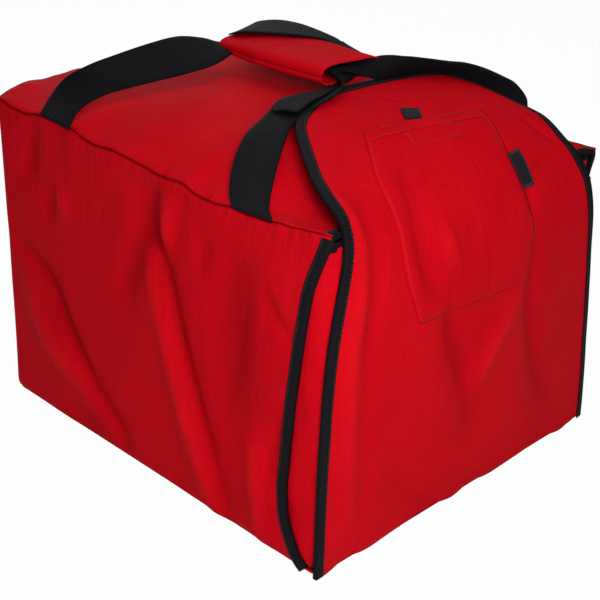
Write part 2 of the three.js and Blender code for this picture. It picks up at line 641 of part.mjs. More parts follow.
// One leg of a loop. It turns out of the wrap by an angle, then comes down over the dome
// to the seam. side is -1 for the left loop and 1 for the right; end is -1 in front and 1
// behind; arch lifts its middle.
function handleLeg({ side, end, seamY, swing, arch }) {
  const startY = WRAP_Y + end * (WRAP_LENGTH / 2 + LOOP_TAIL + SEWN_GAP);
  const startLift = WRAP_Z + webbingFloor(side) - crown(WRAP_X, startY);
  const turn = (angle) => new THREE.Vector2(
    WRAP_X + side * LEG_TURN * (1 - Math.cos(angle)), startY + end * LEG_TURN * Math.sin(angle));
  const heading = (angle) => new THREE.Vector2(side * Math.sin(angle), end * Math.cos(angle));
  const leave = turn(swing);
  const seam = new THREE.Vector2(side * (HALF_WIDTH - SKIN), end * seamY);
  const pull = seam.distanceTo(leave) * 0.35;
  const run = new THREE.CubicBezierCurve(leave, heading(swing).multiplyScalar(pull).add(leave),
    new THREE.Vector2(seam.x - side * pull, seam.y), seam);
  const turnLength = swing * LEG_TURN;
  const turnShare = turnLength / (turnLength + run.getLength());

  const share = (t) => clamp((t - turnShare) / (1 - turnShare), 0, 1);
  const face = (raise) => (u, t) => {
    const angle = (t / turnShare) * swing;
    const turning = t < turnShare;
    const middle = turning ? turn(angle) : run.getPoint(share(t));
    const ahead = turning ? heading(angle) : run.getTangent(share(t));
    const reach = side * end * (u - 0.5) * WEBBING_WIDTH;
    const x = middle.x - ahead.y * reach;
    const y = middle.y + ahead.x * reach;
    const rest = lerp(LEG_SEAM_LIFT, startLift, 1 - share(t) ** LEG_EASE);
    const lift = rest + arch * Math.sin(Math.PI * share(t));
    return point(x, y, crown(x, y) + lift + raise);
  };
  return slab(2, LEG_ROWS, face(WEBBING), face(0));
}

const LEGS = {
  leg_left_front: {
    side: -1, end: -1, seamY: LEG_SEAM_LEFT_FRONT, swing: 2, arch: LEG_ARCH_LEFT_FRONT,
  },
  leg_left_rear: { side: -1, end: 1, seamY: LEG_SEAM, swing: 1.5, arch: 0 },
  leg_right_front: {
    side: 1, end: -1, seamY: LEG_SEAM, swing: 1.6, arch: LEG_ARCH_RIGHT_FRONT,
  },
  leg_right_rear: {
    side: 1, end: 1, seamY: LEG_SEAM, swing: 1.5, arch: LEG_ARCH_RIGHT_REAR,
  },
};

function addLegs(group) {
  for (const [name, leg] of Object.entries(LEGS)) {
    addMesh(group, name, handleLeg(leg), MATERIALS.webbing);
  }
}

// Moves the points of one piece as the soft body sags, evenly from the floor up and from
// the back forward, so that straight edges stay straight.
function lean(mesh) {
  const points = mesh.geometry.getAttribute('position');
  const at = new THREE.Vector3();
  for (let i = 0; i < points.count; i += 1) {
    at.fromBufferAttribute(points, i).add(mesh.position);
    const sideways = THREE.MathUtils.smoothstep(at.x, LEAN_START, SHOULDER_X);
    const forward = clamp((Y_BACK - at.y) / (Y_BACK - Y_FLAP), 0, 1);
    const amount = sideways * forward;
    const up = at.z / SEAM_HEIGHT;
    at.x += amount * lerp(LEAN_OUT, -LEAN_IN, up);
    at.z -= amount * LEAN_DOWN * up;
    at.sub(mesh.position);
    points.setXYZ(i, at.x, at.y, at.z);
  }
  mesh.geometry.computeVertexNormals();
}

const bag = new THREE.Group();
const body = new THREE.Group();
const flap = new THREE.Group();
const grip = new THREE.Group();
grip.position.set(WRAP_X, WRAP_Y, WRAP_Z);
bag.add(body, flap, grip);

addFloor(body);
addWalls(body);
addOpeningBinding(body);
addWings(body);
addFlap(flap);
addPocket(flap);
addHookAndLoop(flap);
addGripWebbing(grip);
addWrap(grip);
addLegs(body);
[...body.children, ...flap.children].forEach(lean);

export default bag;
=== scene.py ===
"""Looks of an insulated pizza delivery bag: padded nylon box, roll-over flap, webbing loops and wrap."""

import logging
import math
from collections.abc import Callable
from dataclasses import dataclass, field
from enum import Enum

import bmesh
import bpy
import numpy as np
from mathutils import Matrix, Vector


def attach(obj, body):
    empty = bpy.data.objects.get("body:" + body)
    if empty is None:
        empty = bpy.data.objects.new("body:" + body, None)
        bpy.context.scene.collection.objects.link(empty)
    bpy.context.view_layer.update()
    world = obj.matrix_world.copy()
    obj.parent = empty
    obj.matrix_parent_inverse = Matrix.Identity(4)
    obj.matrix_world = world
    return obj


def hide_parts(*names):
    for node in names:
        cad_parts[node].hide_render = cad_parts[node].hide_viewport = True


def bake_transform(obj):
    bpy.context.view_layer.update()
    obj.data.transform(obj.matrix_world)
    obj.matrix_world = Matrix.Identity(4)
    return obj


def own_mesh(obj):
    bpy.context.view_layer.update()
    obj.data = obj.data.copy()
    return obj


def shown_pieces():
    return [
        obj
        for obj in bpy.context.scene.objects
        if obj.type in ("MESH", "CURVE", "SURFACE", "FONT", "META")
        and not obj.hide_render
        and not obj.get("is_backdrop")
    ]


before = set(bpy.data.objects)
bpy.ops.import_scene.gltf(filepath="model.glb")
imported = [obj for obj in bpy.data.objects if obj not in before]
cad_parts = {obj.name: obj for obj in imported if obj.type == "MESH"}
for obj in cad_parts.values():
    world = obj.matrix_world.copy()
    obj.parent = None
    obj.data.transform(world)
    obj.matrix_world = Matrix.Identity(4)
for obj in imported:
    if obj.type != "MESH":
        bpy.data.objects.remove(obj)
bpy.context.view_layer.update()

LOG = logging.getLogger("bag")

# A point of a cube from -1 to 1 lies on a face from this coordinate on.
ON_FACE = 0.999
UP = np.array([0.0, 0.0, 1.0])
# Points from which the faces of the cloths round them look away.
INSIDE_BAG = (0.0, 0.0, 0.2)
INSIDE_WRAP = (-0.016, 0.026, 0.4395)
INSIDE_FLAP = (0.0, 0.0, 0.1)
# Length of a stitch in tape with its gap, and the thread's radius.
TAPE_STITCH = (0.0042, 0.0003)

Array = np.ndarray
Surface = Callable[[Array, Array], Array]
Place = tuple[float, float, float]
Noise = tuple[float, float, float]
Colour = tuple[float, float, float, float]


def curve(knots: list[tuple[float, ...]] | Array, t: Array) -> Array:
    """Smooth curve through knots that stand at t = 0, 1, 2 and so on.

    Args:
        knots: points of any dimension.
        t: places along the curve.

    Returns:
        One point per place.
    """
    k = np.asarray(knots, float)
    t = np.clip(np.asarray(t, float), 0, len(k) - 1 - 1e-9)
    i = np.floor(t).astype(int)
    f = (t - i)[..., None]
    p = [k[np.clip(i + j, 0, len(k) - 1)] for j in (-1, 0, 1, 2)]
    return 0.5 * (
        2 * p[1]
        + (p[2] - p[0]) * f
        + (2 * p[0] - 5 * p[1] + 4 * p[2] - p[3]) * f**2
        + (3 * p[1] - p[0] - 3 * p[2] + p[3]) * f**3
    )


def lengths(path: Array) -> Array:
    """Length along a path up to each of its points."""
    return np.concatenate([[0], np.cumsum(np.linalg.norm(np.diff(path, axis=0), axis=1))])


def along(knots: list[tuple[float, ...]] | Array, share: Array) -> Array:
    """Points at equal shares of a smooth curve's length.

    Args:
        knots: points that the curve goes through.
        share: 0 at the first knot to 1 at the last.

    Returns:
        One point per share.
    """
    fine = curve(knots, np.linspace(0, len(knots) - 1, 40 * len(knots)))
    run = lengths(fine)
    want = np.asarray(share, float) * run[-1]
    return np.stack([np.interp(want, run, fine[:, j]) for j in range(fine.shape[1])], -1)


def ease(t: Array) -> Array:
    """Smooth step from 0 to 1, as a raised cosine."""
    return 0.5 - 0.5 * np.cos(np.pi * np.clip(t, 0, 1))


def unit(v: Array) -> Array:
    """Vectors scaled to length 1."""
    return v / np.maximum(np.linalg.norm(v, axis=-1, keepdims=True), 1e-12)


def between(corners: Array, u: Array, v: Array) -> Array:
    """Places inside four corners.

    Args:
        corners: the foot's left and right corner, then the top's.
        u: shares across.
        v: shares from the foot to the top.

    Returns:
        One place per pair of shares.
    """
    foot = corners[0] + (corners[1] - corners[0]) * u[:, None]
    top = corners[2] + (corners[3] - corners[2]) * u[:, None]
    return foot * (1 - v[:, None]) + top * v[:, None]


def rounded(a: Array, b: Array, radius: float) -> tuple[Array, Array]:
    """Moves places near a square corner onto a quarter round.

    Args:
        a: distances from one side of the corner.
        b: distances from the other side.
        radius: radius of the corner.

    Returns:
        Both distances after the move.
    """
    p, q = np.clip(1 - a / radius, 0, 1), np.clip(1 - b / radius, 0, 1)
    near = (p > 0) & (q > 0)
    shrink = np.where(near, np.maximum(p, q) / np.maximum(np.hypot(p, q), 1e-9), 1)
    return (
        np.where(near, radius * (1 - p * shrink), a),
        np.where(near, radius * (1 - q * shrink), b),
    )


def rough(points: Array, size: float, seed: float, detail: int = 3) -> Array:
    """Smooth random heights from about -1 to 1, the same on each run.

    Args:
        points: places in metres.
        size: width of one lump in metres.
        seed: shifts the pattern.
        detail: how many finer layers are added.

    Returns:
        One height per place.
    """
    total = np.zeros(len(points))
    for layer in range(detail):
        q = points / size * 2.0**layer + seed * 7.3 + layer * 3.1
        x, y, z = q.T
        wave = (
            np.sin(x * 2.1 + 1.7 * np.sin(y * 1.3 + z))
            + np.sin(y * 2.3 + 1.5 * np.sin(z * 1.7 - x))
            + np.sin(z * 1.9 + 1.6 * np.sin(x * 1.1 + y))
        )
        total += wave / 3 / 1.9**layer
    return total


@dataclass(frozen=True)
class Crease:
    """A fold in cloth: a line in the cloth's own plane, pushed in or out.

    Attributes:
        line: points in the plane, in millimetres.
        depth: how far the cloth moves out, in millimetres, negative for a valley.
        width: half width of the fold in millimetres.
        sharp: 1 for a soft roll, towards 2 for a crisp line.
    """

    line: tuple[tuple[float, float], ...]
    depth: float
    width: float
    sharp: float = 1.0

    def lift(self, a: Array, b: Array) -> Array:
        """Height of the cloth over its flat place.

        Args:
            a: first coordinates in metres.
            b: second coordinates in metres.

        Returns:
            One height per place in metres.
        """
        knots = curve(self.line, np.linspace(0, len(self.line) - 1, 12 * len(self.line))) / 1000
        near = np.full(np.shape(a), 1e9)
        place = np.zeros(np.shape(a))
        for i in range(len(knots) - 1):
            d = knots[i + 1] - knots[i]
            t = np.clip(((a - knots[i, 0]) * d[0] + (b - knots[i, 1]) * d[1]) / (d @ d), 0, 1)
            gap = np.hypot(a - knots[i, 0] - t * d[0], b - knots[i, 1] - t * d[1])
            place = np.where(gap < near, (i + t) / (len(knots) - 1), place)
            near = np.minimum(near, gap)
        # The fold runs out towards both ends of its line.
        fade = np.sin(np.pi * np.clip(place * 0.84 + 0.08, 0, 1)) ** 0.7
        body = np.exp(-((near / (self.width / 1000)) ** (2 / self.sharp)))
        return self.depth / 1000 * fade * body


@dataclass
class BagForm:
    """The bag's overall shape, which every piece of it follows, in metres.

    Attributes:
        half_width: from the middle to a side wall.
        back: place of the back wall.
        opening: place where the top panel begins.
        flap: place of the flap's foot.
        seam: height of the top's seam.
        rise: height of the dome over the seam.
        rear_arch: how much of that is left over the back wall.
        crest: place of the dome's crest.
        hem: flat width of the top behind the opening.
        ease_in: width over which the dome begins to rise.
        corner: radius of the upright corners at the back.
        foot_corner: radius round the floor.
        swell: how far the side walls bulge.
        mouth_pull: how far the top's front edge is drawn back in the middle.
        mouth_drop: how far it hangs there.
        mouth_fade: how fast that fades towards the back.
        front_top: place of the top's front corners.
        front_foot: place of the floor's front edge.
        flare: how far the rear left corner stands out at the top, across and back.
        flare_reach: how far round the corner that is felt.
        pinch_back: how far the opening's right edge is drawn back near the top.
        bow_forward: how far it bows forward at half height.
        edge_fade: how fast both fade towards the back.
        lean_in: how far the front right corner leans in at the top.
        lean_out: how far it leans out at the foot.
        lean_down: how far it sinks.
        lean_start: distance from the middle where the lean begins.
        lean_full: distance where it is whole.
        seam_wave: place and height over the straight line of the left top seam, in millimetres.
        sway_reach: how far from the seam that is felt.
        mouth_edge: height and place of the side walls' front edges, in millimetres.
    """

    half_width: float = 0.2435
    back: float = 0.2547
    opening: float = -0.2353
    flap: float = -0.2529
    seam: float = 0.362
    rise: float = 0.052
    rear_arch: float = 0.033
    crest: float = -0.0493
    hem: float = 0.015
    ease_in: float = 0.06
    corner: float = 0.014
    foot_corner: float = 0.022
    swell: float = 0.006
    mouth_pull: float = 0.030
    mouth_drop: float = 0.015
    mouth_fade: float = 0.16
    front_top: float = -0.243
    front_foot: float = -0.249
    flare: tuple[float, float] = (0.0067, 0.0074)
    flare_reach: float = 0.07
    pinch_back: float = 0.012
    bow_forward: float = 0.010
    edge_fade: float = 0.12
    lean_in: float = 0.030
    lean_out: float = 0.007
    lean_down: float = 0.009
    lean_start: float = 0.100
    lean_full: float = 0.2087
    seam_wave: tuple[tuple[float, float], ...] = (
        (-246, 6), (-171, -4), (-118, -6), (-98, -10), (-62, -9), (-48, -2), (-3, -4),
        (52, 1), (93, 0), (125, 5), (169, 9), (208, 5), (255, 9),
    )
    sway_reach: float = 0.055
    mouth_edge: tuple[tuple[float, float], ...] = (
        (0, -250), (5, -249), (19, -234), (55, -214), (88, -209), (180, -213), (257, -219),
        (307, -225), (330, -233), (350, -241), (367, -245),
    )

    def across(self, x: Array) -> Array:
        """Share of the dome's height at a distance from the middle."""
        return 1 - np.clip(np.abs(x) / self.half_width, 0, 1) ** 3

    def dome(self, x: Array, y: Array) -> Array:
        """Height of the top panel.

        Args:
            x: places across the bag.
            y: places from the opening to the back.

        Returns:
            Heights over the floor.
        """
        run = np.maximum(y - self.opening - self.hem, 0)
        short = self.ease_in / 2
        eased = np.where(run < self.ease_in, run * run / (4 * short), run - short)
        reach = self.crest - self.opening - self.hem - short
        front = np.sin(np.clip(eased / reach, 0, 1) * np.pi / 2)
        t = np.clip((y - self.crest) / (self.back - self.crest), 0, 1)
        arch = self.rear_arch / self.rise
        rear = arch + (1 - arch) * (1 - t**3)
        return self.seam + self.rise * self.across(x) * np.where(y < self.crest, front, rear)

    def lean(self, points: Array) -> Array:
        """Sags the upright shape: the front right corner leans in at the top and out at the foot.

        Args:
            points: places on the upright shape.

        Returns:
            The same places on the sagging bag.
        """
        p = np.array(points, float)
        t = np.clip((p[..., 0] - self.lean_start) / (self.lean_full - self.lean_start), 0, 1)
        front = np.clip((self.back - p[..., 1]) / (self.back - self.flap), 0, 1)
        pull = t * t * (3 - 2 * t) * front
        high = p[..., 2] / self.seam
        p[..., 0] += pull * (self.lean_out * (1 - high) - self.lean_in * high)
        p[..., 2] -= pull * self.lean_down * high
        return p

    def sway(self, y: Array) -> Array:
        """How far the left top seam stands over its straight line."""
        knots = np.array(self.seam_wave) / 1000
        return np.interp(y, knots[:, 0], knots[:, 1])

    def pinch(self, z: Array) -> Array:
        """How far the opening's right edge is drawn back near the top."""
        return self.pinch_back * ease((z - 0.285) / 0.075)

    def bow(self, z: Array) -> Array:
        """How far the opening's right edge bows forward at half height."""
        return self.bow_forward * np.sin(np.pi * np.clip((z - 0.06) / 0.26, 0, 1))

    def mouth(self, z: Array) -> Array:
        """Where the side walls' front edges stand at a height."""
        knots = np.array(self.mouth_edge) / 1000
        return np.interp(z, knots[:, 0], knots[:, 1])


class Piece:
    """Makes, shapes and dresses meshes that stand at the origin."""

    @staticmethod
    def points(mesh: bpy.types.Mesh) -> Array:
        """Reads all vertex places of a mesh.

        Args:
            mesh: the mesh.

        Returns:
            One row per vertex.
        """
        flat = np.zeros(3 * len(mesh.vertices))
        mesh.vertices.foreach_get("co", flat)
        return flat.reshape(-1, 3)

    @staticmethod
    def place(mesh: bpy.types.Mesh, points: Array) -> None:
        """Writes all vertex places of a mesh."""
        mesh.vertices.foreach_set("co", np.asarray(points, np.float32).ravel())
        mesh.update()

    @staticmethod
    def weave(mesh: bpy.types.Mesh, flat: Array) -> None:
        """Stores each vertex's place on the flat cloth, in metres, as a UV map.

        Args:
            mesh: mesh that gets the map.
            flat: one pair of numbers per vertex.
        """
        layer = mesh.uv_layers.get("weave") or mesh.uv_layers.new(name="weave")
        index = np.zeros(len(mesh.loops), int)
        mesh.loops.foreach_get("vertex_index", index)
        layer.data.foreach_set("uv", flat[index].astype(np.float32).ravel())

    @classmethod
    def sheet(
        cls,
        name: str,
        cuts: tuple[int, int],
        shape: Surface,
        size: tuple[float, float],
        out_of: Place = (0.0, 0.0, 0.18),
    ) -> bpy.types.Object:
        """A rectangular cloth laid on a surface.

        Args:
            name: name of the piece.
            cuts: faces across and along.
            shape: gives a place for each share across and along, 0 to 1.
            size: width and length of the flat cloth in metres.
            out_of: a point behind the cloth, so that its faces look away from it.

        Returns:
            The new object.
        """
        bm = bmesh.new()
        bmesh.ops.create_grid(bm, x_segments=cuts[0], y_segments=cuts[1], size=0.5)
        mesh = bpy.data.meshes.new(name)
        bm.to_mesh(mesh)
        bm.free()
        share = cls.points(mesh)[:, :2] + 0.5
        cls.place(mesh, shape(share[:, 0], share[:, 1]))
        cls.weave(mesh, share * np.array(size))
        centres = np.array([p.center for p in mesh.polygons])
        normals = np.array([p.normal for p in mesh.polygons])
        if np.sum((centres - np.array(out_of)) * normals) < 0:
            mesh.flip_normals()
        return cls.finish(name, mesh)

    @classmethod
    def finish(cls, name: str, mesh: bpy.types.Mesh) -> bpy.types.Object:
        """Shades a mesh smooth and puts it into the scene.

        Args:
            name: name of the object.
            mesh: its mesh.

        Returns:
            The new object.
        """
        mesh.shade_smooth()
        obj = bpy.data.objects.new(name, mesh)
        bpy.context.scene.collection.objects.link(obj)
        return obj

    @staticmethod
    def thick(obj: bpy.types.Object, amount: float, offset: float = -1.0, inner: int = 0) -> None:
        """Gives a sheet its thickness.

        Args:
            obj: the sheet.
            amount: thickness in metres.
            offset: -1 grows it behind its faces, 1 in front of them.
            inner: how many material slots further the inner face takes its finish from.
        """
        wall = obj.modifiers.new("thickness", "SOLIDIFY")
        wall.thickness = amount
        wall.offset = offset
        wall.material_offset = inner
        wall.use_even_offset = False

    @staticmethod
    def hollow(mesh: bpy.types.Mesh, depth: Array) -> None:
        """Stores how deep in a fold each vertex lies, 1 in a valley and -1 on a ridge, for the nylon's
        painted shade and painted highlight.
        """
        layer = mesh.attributes.new("hollow", "FLOAT", "POINT")
        layer.data.foreach_set("value", np.clip(depth, -1, 1).astype(np.float32))

    @staticmethod
    def dress(obj: bpy.types.Object, slot: str, *finishes: bpy.types.Material) -> None:
        """Gives a piece its materials.

        Args:
            obj: the piece.
            slot: the record's material slot that they belong to; not used.
            finishes: the materials, in the order of the mesh's own slots.
        """
        obj.data.materials.clear()
        for finish in finishes:
            obj.data.materials.append(finish)

    @classmethod
    def ribbon(
        cls,
        name: str,
        path: Array,
        inward: Array,
        normal: Array,
        stack: float,
        width: float,
        thickness: float = 0.001,
    ) -> bpy.types.Object:
        """Binding tape folded round an edge.

        Args:
            name: name of the piece.
            path: points along the middle of the edge.
            inward: unit vectors from the edge into the cloth.
            normal: unit vectors out of the cloth's face.
            stack: thickness of the cloth that the tape folds round.
            width: how far the tape reaches onto each face.
            thickness: thickness of the tape.

        Returns:
            The new object.
        """
        half = stack / 2 + thickness
        turn = np.linspace(-np.pi / 2, np.pi / 2, 7)
        nose = [(-0.55 * half * math.cos(a), half * math.sin(a)) for a in turn]
        flat = [(width * t, half) for t in (0.15, 0.5, 0.85, 1.0)]
        section = np.array([(a, -b) for a, b in reversed(flat)] + nose + flat)
        run = lengths(path)
        last = len(section) - 1
        rows = len(path) - 1

        def shape(u: Array, v: Array) -> Array:
            """Places the folded tape along the path.

            Args:
                u: shares round the tape's section.
                v: shares along the path.

            Returns:
                One place per pair of shares.
            """
            i = np.rint(u * last).astype(int)
            j = np.rint(v * rows).astype(int)
            return path[j] + inward[j] * section[i, :1] + normal[j] * section[i, 1:]

        obj = cls.sheet(name, (last, rows), shape, (2 * width + stack, run[-1]))
        mesh = obj.data
        if np.array(mesh.polygons[last // 2].normal) @ (-inward[0]) < 0:
            mesh.flip_normals()
        cls.thick(obj, thickness)
        return obj

    @classmethod
    def stitches(
        cls, name: str, path: Array, normal: Array, pitch: float = 0.0036, size: float = 0.00035
    ) -> bpy.types.Object:
        """A row of thread stitches along a path.

        Args:
            name: name of the piece.
            path: points that the row follows.
            normal: unit vectors out of the cloth, one per point.
            pitch: length of a stitch and its gap.
            size: radius of the thread.

        Returns:
            The new object, one short low hump of thread per stitch.
        """
        run = lengths(path)
        count = max(int(run[-1] / pitch), 2)
        bm = bmesh.new()
        at = np.arange(count) * pitch + pitch / 2

        def sample(values: Array, s: float) -> Vector:
            """Reads one point of a row at a length."""
            return Vector([float(np.interp(s, run, values[:, k])) for k in range(3)])

        for s in at:
            a, b = sample(path, s - 0.36 * pitch), sample(path, s + 0.36 * pitch)
            up = sample(normal, s).normalized()
            ahead = (b - a).normalized()
            aside = up.cross(ahead).normalized()
            turn = Matrix((ahead, aside, up)).transposed().to_4x4()
            turn.translation = (a + b) / 2
            made = bmesh.ops.create_cube(bm, size=1.0, matrix=Matrix.Identity(4))
            for v in made["verts"]:
                top = v.co.z > 0
                v.co.x *= (b - a).length * (0.72 if top else 1.0)
                v.co.y *= 2 * size * (0.7 if top else 1.0)
                v.co.z = size * (1.1 if top else -0.6)
            bmesh.ops.transform(bm, matrix=turn, verts=made["verts"])
        mesh = bpy.data.meshes.new(name)
        bm.to_mesh(mesh)
        bm.free()
        return cls.finish(name, mesh)


class Wire:
    """A shader value whose arithmetic adds Math nodes."""

    def __init__(self, tree: bpy.types.NodeTree, socket: bpy.types.NodeSocket) -> None:
        """Keeps the tree and the socket that the value comes from."""
        self.tree = tree
        self.socket = socket

    def math(self, operation: str, *values: "Wire | float") -> "Wire":
        """Adds one Math node.

        Args:
            operation: the node's operation.
            values: its inputs, in order.

        Returns:
            The node's value.
        """
        node = self.tree.nodes.new("ShaderNodeMath")
        node.operation = operation
        for i, value in enumerate(values):
            if isinstance(value, Wire):
                self.tree.links.new(value.socket, node.inputs[i])
            else:
                node.inputs[i].default_value = value
        return Wire(self.tree, node.outputs[0])

    def __add__(self, other: "Wire | float") -> "Wire":
        """Sum."""
        return self.math("ADD", self, other)

    def __radd__(self, other: float) -> "Wire":
        """Sum with a number first."""
        return self.math("ADD", other, self)

    def __sub__(self, other: "Wire | float") -> "Wire":
        """Difference."""
        return self.math("SUBTRACT", self, other)

    def __rsub__(self, other: float) -> "Wire":
        """Difference with a number first."""
        return self.math("SUBTRACT", other, self)

    def __mul__(self, other: "Wire | float") -> "Wire":
        """Product."""
        return self.math("MULTIPLY", self, other)

    def __rmul__(self, other: float) -> "Wire":
        """Product with a number first."""
        return self.math("MULTIPLY", other, self)


Value = float | tuple[float, ...] | Wire


class Recipe:
    """One material under construction."""

    def __init__(self, name: str) -> None:
        """Starts a material with a Principled shader.

        Args:
            name: name of the material.
        """
        self.material = bpy.data.materials.new(name)
        self.material.use_nodes = True
        self.tree = self.material.node_tree
        self.shader = next(n for n in self.tree.nodes if n.type == "BSDF_PRINCIPLED")

    def node(
        self,
        kind: str,
        settings: dict[str, object] | None = None,
        inputs: dict[str | int, Value] | None = None,
        output: str | int = 0,
    ) -> Wire:
        """Adds a node.

        Args:
            kind: the node's type after ShaderNode.
            settings: properties set before its sockets.
            inputs: values or wires of its sockets.
            output: the socket that is returned.

        Returns:
            The chosen output.
        """
        made = self.tree.nodes.new("ShaderNode" + kind)
        for key, value in (settings or {}).items():
            setattr(made, key, value)
        for key, value in (inputs or {}).items():
            self.feed(made.inputs[key], value)
        return Wire(self.tree, made.outputs[output])

    def feed(self, socket: bpy.types.NodeSocket, value: Value) -> None:
        """Links a wire to a socket, or sets a plain value on it.

        Args:
            socket: the socket.
            value: wire or plain value.
        """
        if isinstance(value, Wire):
            self.tree.links.new(value.socket, socket)
        else:
            socket.default_value = value

    def set(self, **sockets: Value) -> None:
        """Feeds the shader's sockets, named with _ for a space."""
        for key, value in sockets.items():
            self.feed(self.shader.inputs[key.replace("_", " ")], value)

    def mix(self, amount: Value, first: Value, second: Value) -> Wire:
        """Colour between two others.

        Args:
            amount: 0 for the first to 1 for the second.
            first: colour or wire.
            second: colour or wire.

        Returns:
            The mixed colour.
        """
        made = self.tree.nodes.new("ShaderNodeMix")
        made.data_type = "RGBA"
        made.clamp_factor = True
        colour = [s for s in made.inputs if s.type == "RGBA"]
        self.feed(made.inputs[0], amount)
        self.feed(colour[0], first)
        self.feed(colour[1], second)
        return Wire(self.tree, next(s for s in made.outputs if s.type == "RGBA"))

    def cloth(self, layer: str = "weave") -> tuple[Wire, Wire]:
        """Place on the flat cloth, or from a seam and along it.

        Args:
            layer: the UV map that holds it.

        Returns:
            Both distances in millimetres.
        """
        uv = self.node("UVMap", {"uv_map": layer})
        across = self.node("SeparateXYZ", None, {0: uv}, 0)
        up = self.node("SeparateXYZ", None, {0: uv}, 1)
        return across * 1000.0, up * 1000.0

    def wave(self, place: Wire, pitch: float) -> Wire:
        """Sine from -1 to 1 whose pitch is in the place's own unit."""
        return self.node("Math", {"operation": "SINE"}, {0: place * (2 * math.pi / pitch)})

    def grain(self, size: float, detail: float = 3.0, rough: float = 0.5) -> Wire:
        """Cloudy noise on the piece, about 0.5 on average.

        Args:
            size: width of a cloud in metres.
            detail: number of finer layers.
            rough: strength of the finer layers.

        Returns:
            The noise value.
        """
        place = self.node("TexCoord", None, None, "Object")
        return self.node(
            "TexNoise",
            None,
            {"Vector": place, "Scale": 1 / size, "Detail": detail, "Roughness": rough},
        )

    def ramp(self, value: Wire, low: float, high: float, start: float, end: float) -> Wire:
        """A value that runs smoothly from start to end while another runs from low to high.

        Args:
            value: the value that is followed.
            low: where the run begins.
            high: where it ends.
            start: result up to low.
            end: result from high on.

        Returns:
            The result.
        """
        sockets = {"Value": value, "From Min": low, "From Max": high, "To Min": start, "To Max": end}
        return self.node("MapRange", {"interpolation_type": "SMOOTHSTEP"}, sockets)

    def bump(self, height: Wire, distance: float) -> Wire:
        """Normal that follows a height, with the metres that a height of 1 stands for."""
        return self.node("Bump", None, {"Strength": 1.0, "Distance": distance, "Height": height})


@dataclass(frozen=True)
class Nylon:
    """Coated pack nylon: plain weave with a soft sheen and slightly uneven dye.

    Attributes:
        name: name of the material.
        seamed: whether the cloth has a seam map.
        colour: the dye at its fullest.
        deep: the dye where it is darker.
        dark: painted shade in the folds' valleys, also the seams' dark line.
        painted_highlight: colour of the highlight painted onto the folds' ridges.
        tint: colour of the sheen.
        pitch: width of two yarns in millimetres.
        relief: metres that a height of 1 stands for.
        valley: share of the painted shade at the bottom of a valley.
        ridge: share of the painted highlight on top of a ridge.
        line: where a seam's dark line ends, in millimetres.
        reach: where a seam's pleats end, in millimetres.
    """

    name: str = "red_nylon"
    seamed: bool = False
    colour: Colour = (0.66, 0.0035, 0.010, 1)
    deep: Colour = (0.44, 0.0006, 0.006, 1)
    # Painted shade for the folds' valleys, which the seams' dark line also uses, and a painted highlight
    # for their ridges.
    dark: Colour = (0.10, 0.0004, 0.002, 1)
    painted_highlight: Colour = (0.86, 0.010, 0.018, 1)
    tint: Colour = (1.0, 0.02, 0.03, 1)
    pitch: float = 0.9
    relief: float = 0.0022
    valley: float = 0.26
    ridge: float = 0.3
    line: tuple[float, float] = (0.6, 1.9)
    reach: tuple[float, float] = (1.0, 24.0)

    def seams(self, r: Recipe, colour: Wire, height: Wire) -> tuple[Wire, Wire]:
        """Draws the panels' seams, with the pleats that gather at them.

        Args:
            r: the material.
            colour: colour of the cloth.
            height: its height.

        Returns:
            Colour and height with the seams.
        """
        gap, run = r.cloth("seam")
        near = r.ramp(gap, *self.line, 1.0, 0.0)
        soft = r.ramp(gap, *self.reach, 1.0, 0.0)
        place = r.node("CombineXYZ", None, {"X": run * 0.11, "Y": gap * 0.012})
        pleat = r.node("TexNoise", None, {"Vector": place, "Scale": 1.0, "Detail": 2.0})
        return r.mix(near * 0.75, colour, self.dark), height + pleat * soft * 1.6 - near * 0.5

    def streaks(self, r: Recipe) -> Wire:
        """Long soft crinkles that run up the cloth.

        Args:
            r: the material.

        Returns:
            Their height.
        """
        place = r.node("TexCoord", None, None, "Object")
        drawn = r.node("Mapping", None, {"Vector": place, "Scale": (1.0, 1.0, 0.3)})
        sockets = {"Vector": drawn, "Scale": 34.0, "Detail": 3.0, "Distortion": 0.6}
        return r.node("TexNoise", None, sockets)

    def build(self) -> bpy.types.Material:
        """Makes the material, with pinched seams where the cloth has a seam map and painted shade and
        highlight on its folds.

        Returns:
            The finished material.
        """
        r = Recipe(self.name)
        across, up = r.cloth()
        yarn = r.wave(across, self.pitch) * r.wave(up, self.pitch) * 0.5 + 0.5
        cloud = r.grain(0.09, 4.0)
        crush = r.grain(0.028, 4.0, 0.45)
        fine = r.grain(0.004, 3.0)
        shade = (cloud * 0.7 + fine * 0.3 - 0.25) * 1.2 + yarn * 0.12
        colour = r.mix(shade, self.deep, self.colour)
        height = yarn * 0.05 + fine * 0.05 + crush * 0.9
        if self.seamed:
            colour, height = self.seams(r, colour, height)
        # Painted shade darkens the folds' valleys and a painted highlight lightens their ridges.
        hollow = r.node("Attribute", {"attribute_name": "hollow"}, None, "Fac")
        colour = r.mix(r.ramp(hollow, 0.0, 1.0, 0.0, self.valley), colour, self.dark)
        colour = r.mix(r.ramp(hollow, 0.0, -1.0, 0.0, self.ridge), colour, self.painted_highlight)
        r.set(
            Base_Color=colour,
            Roughness=0.62 + cloud * 0.14 - yarn * 0.08,
            Specular_IOR_Level=0.02,
            Sheen_Weight=0.02,
            Sheen_Roughness=0.5,
            Sheen_Tint=self.tint,
            Normal=r.bump(height + self.streaks(r) * 1.5, self.relief),
        )
        return r.material


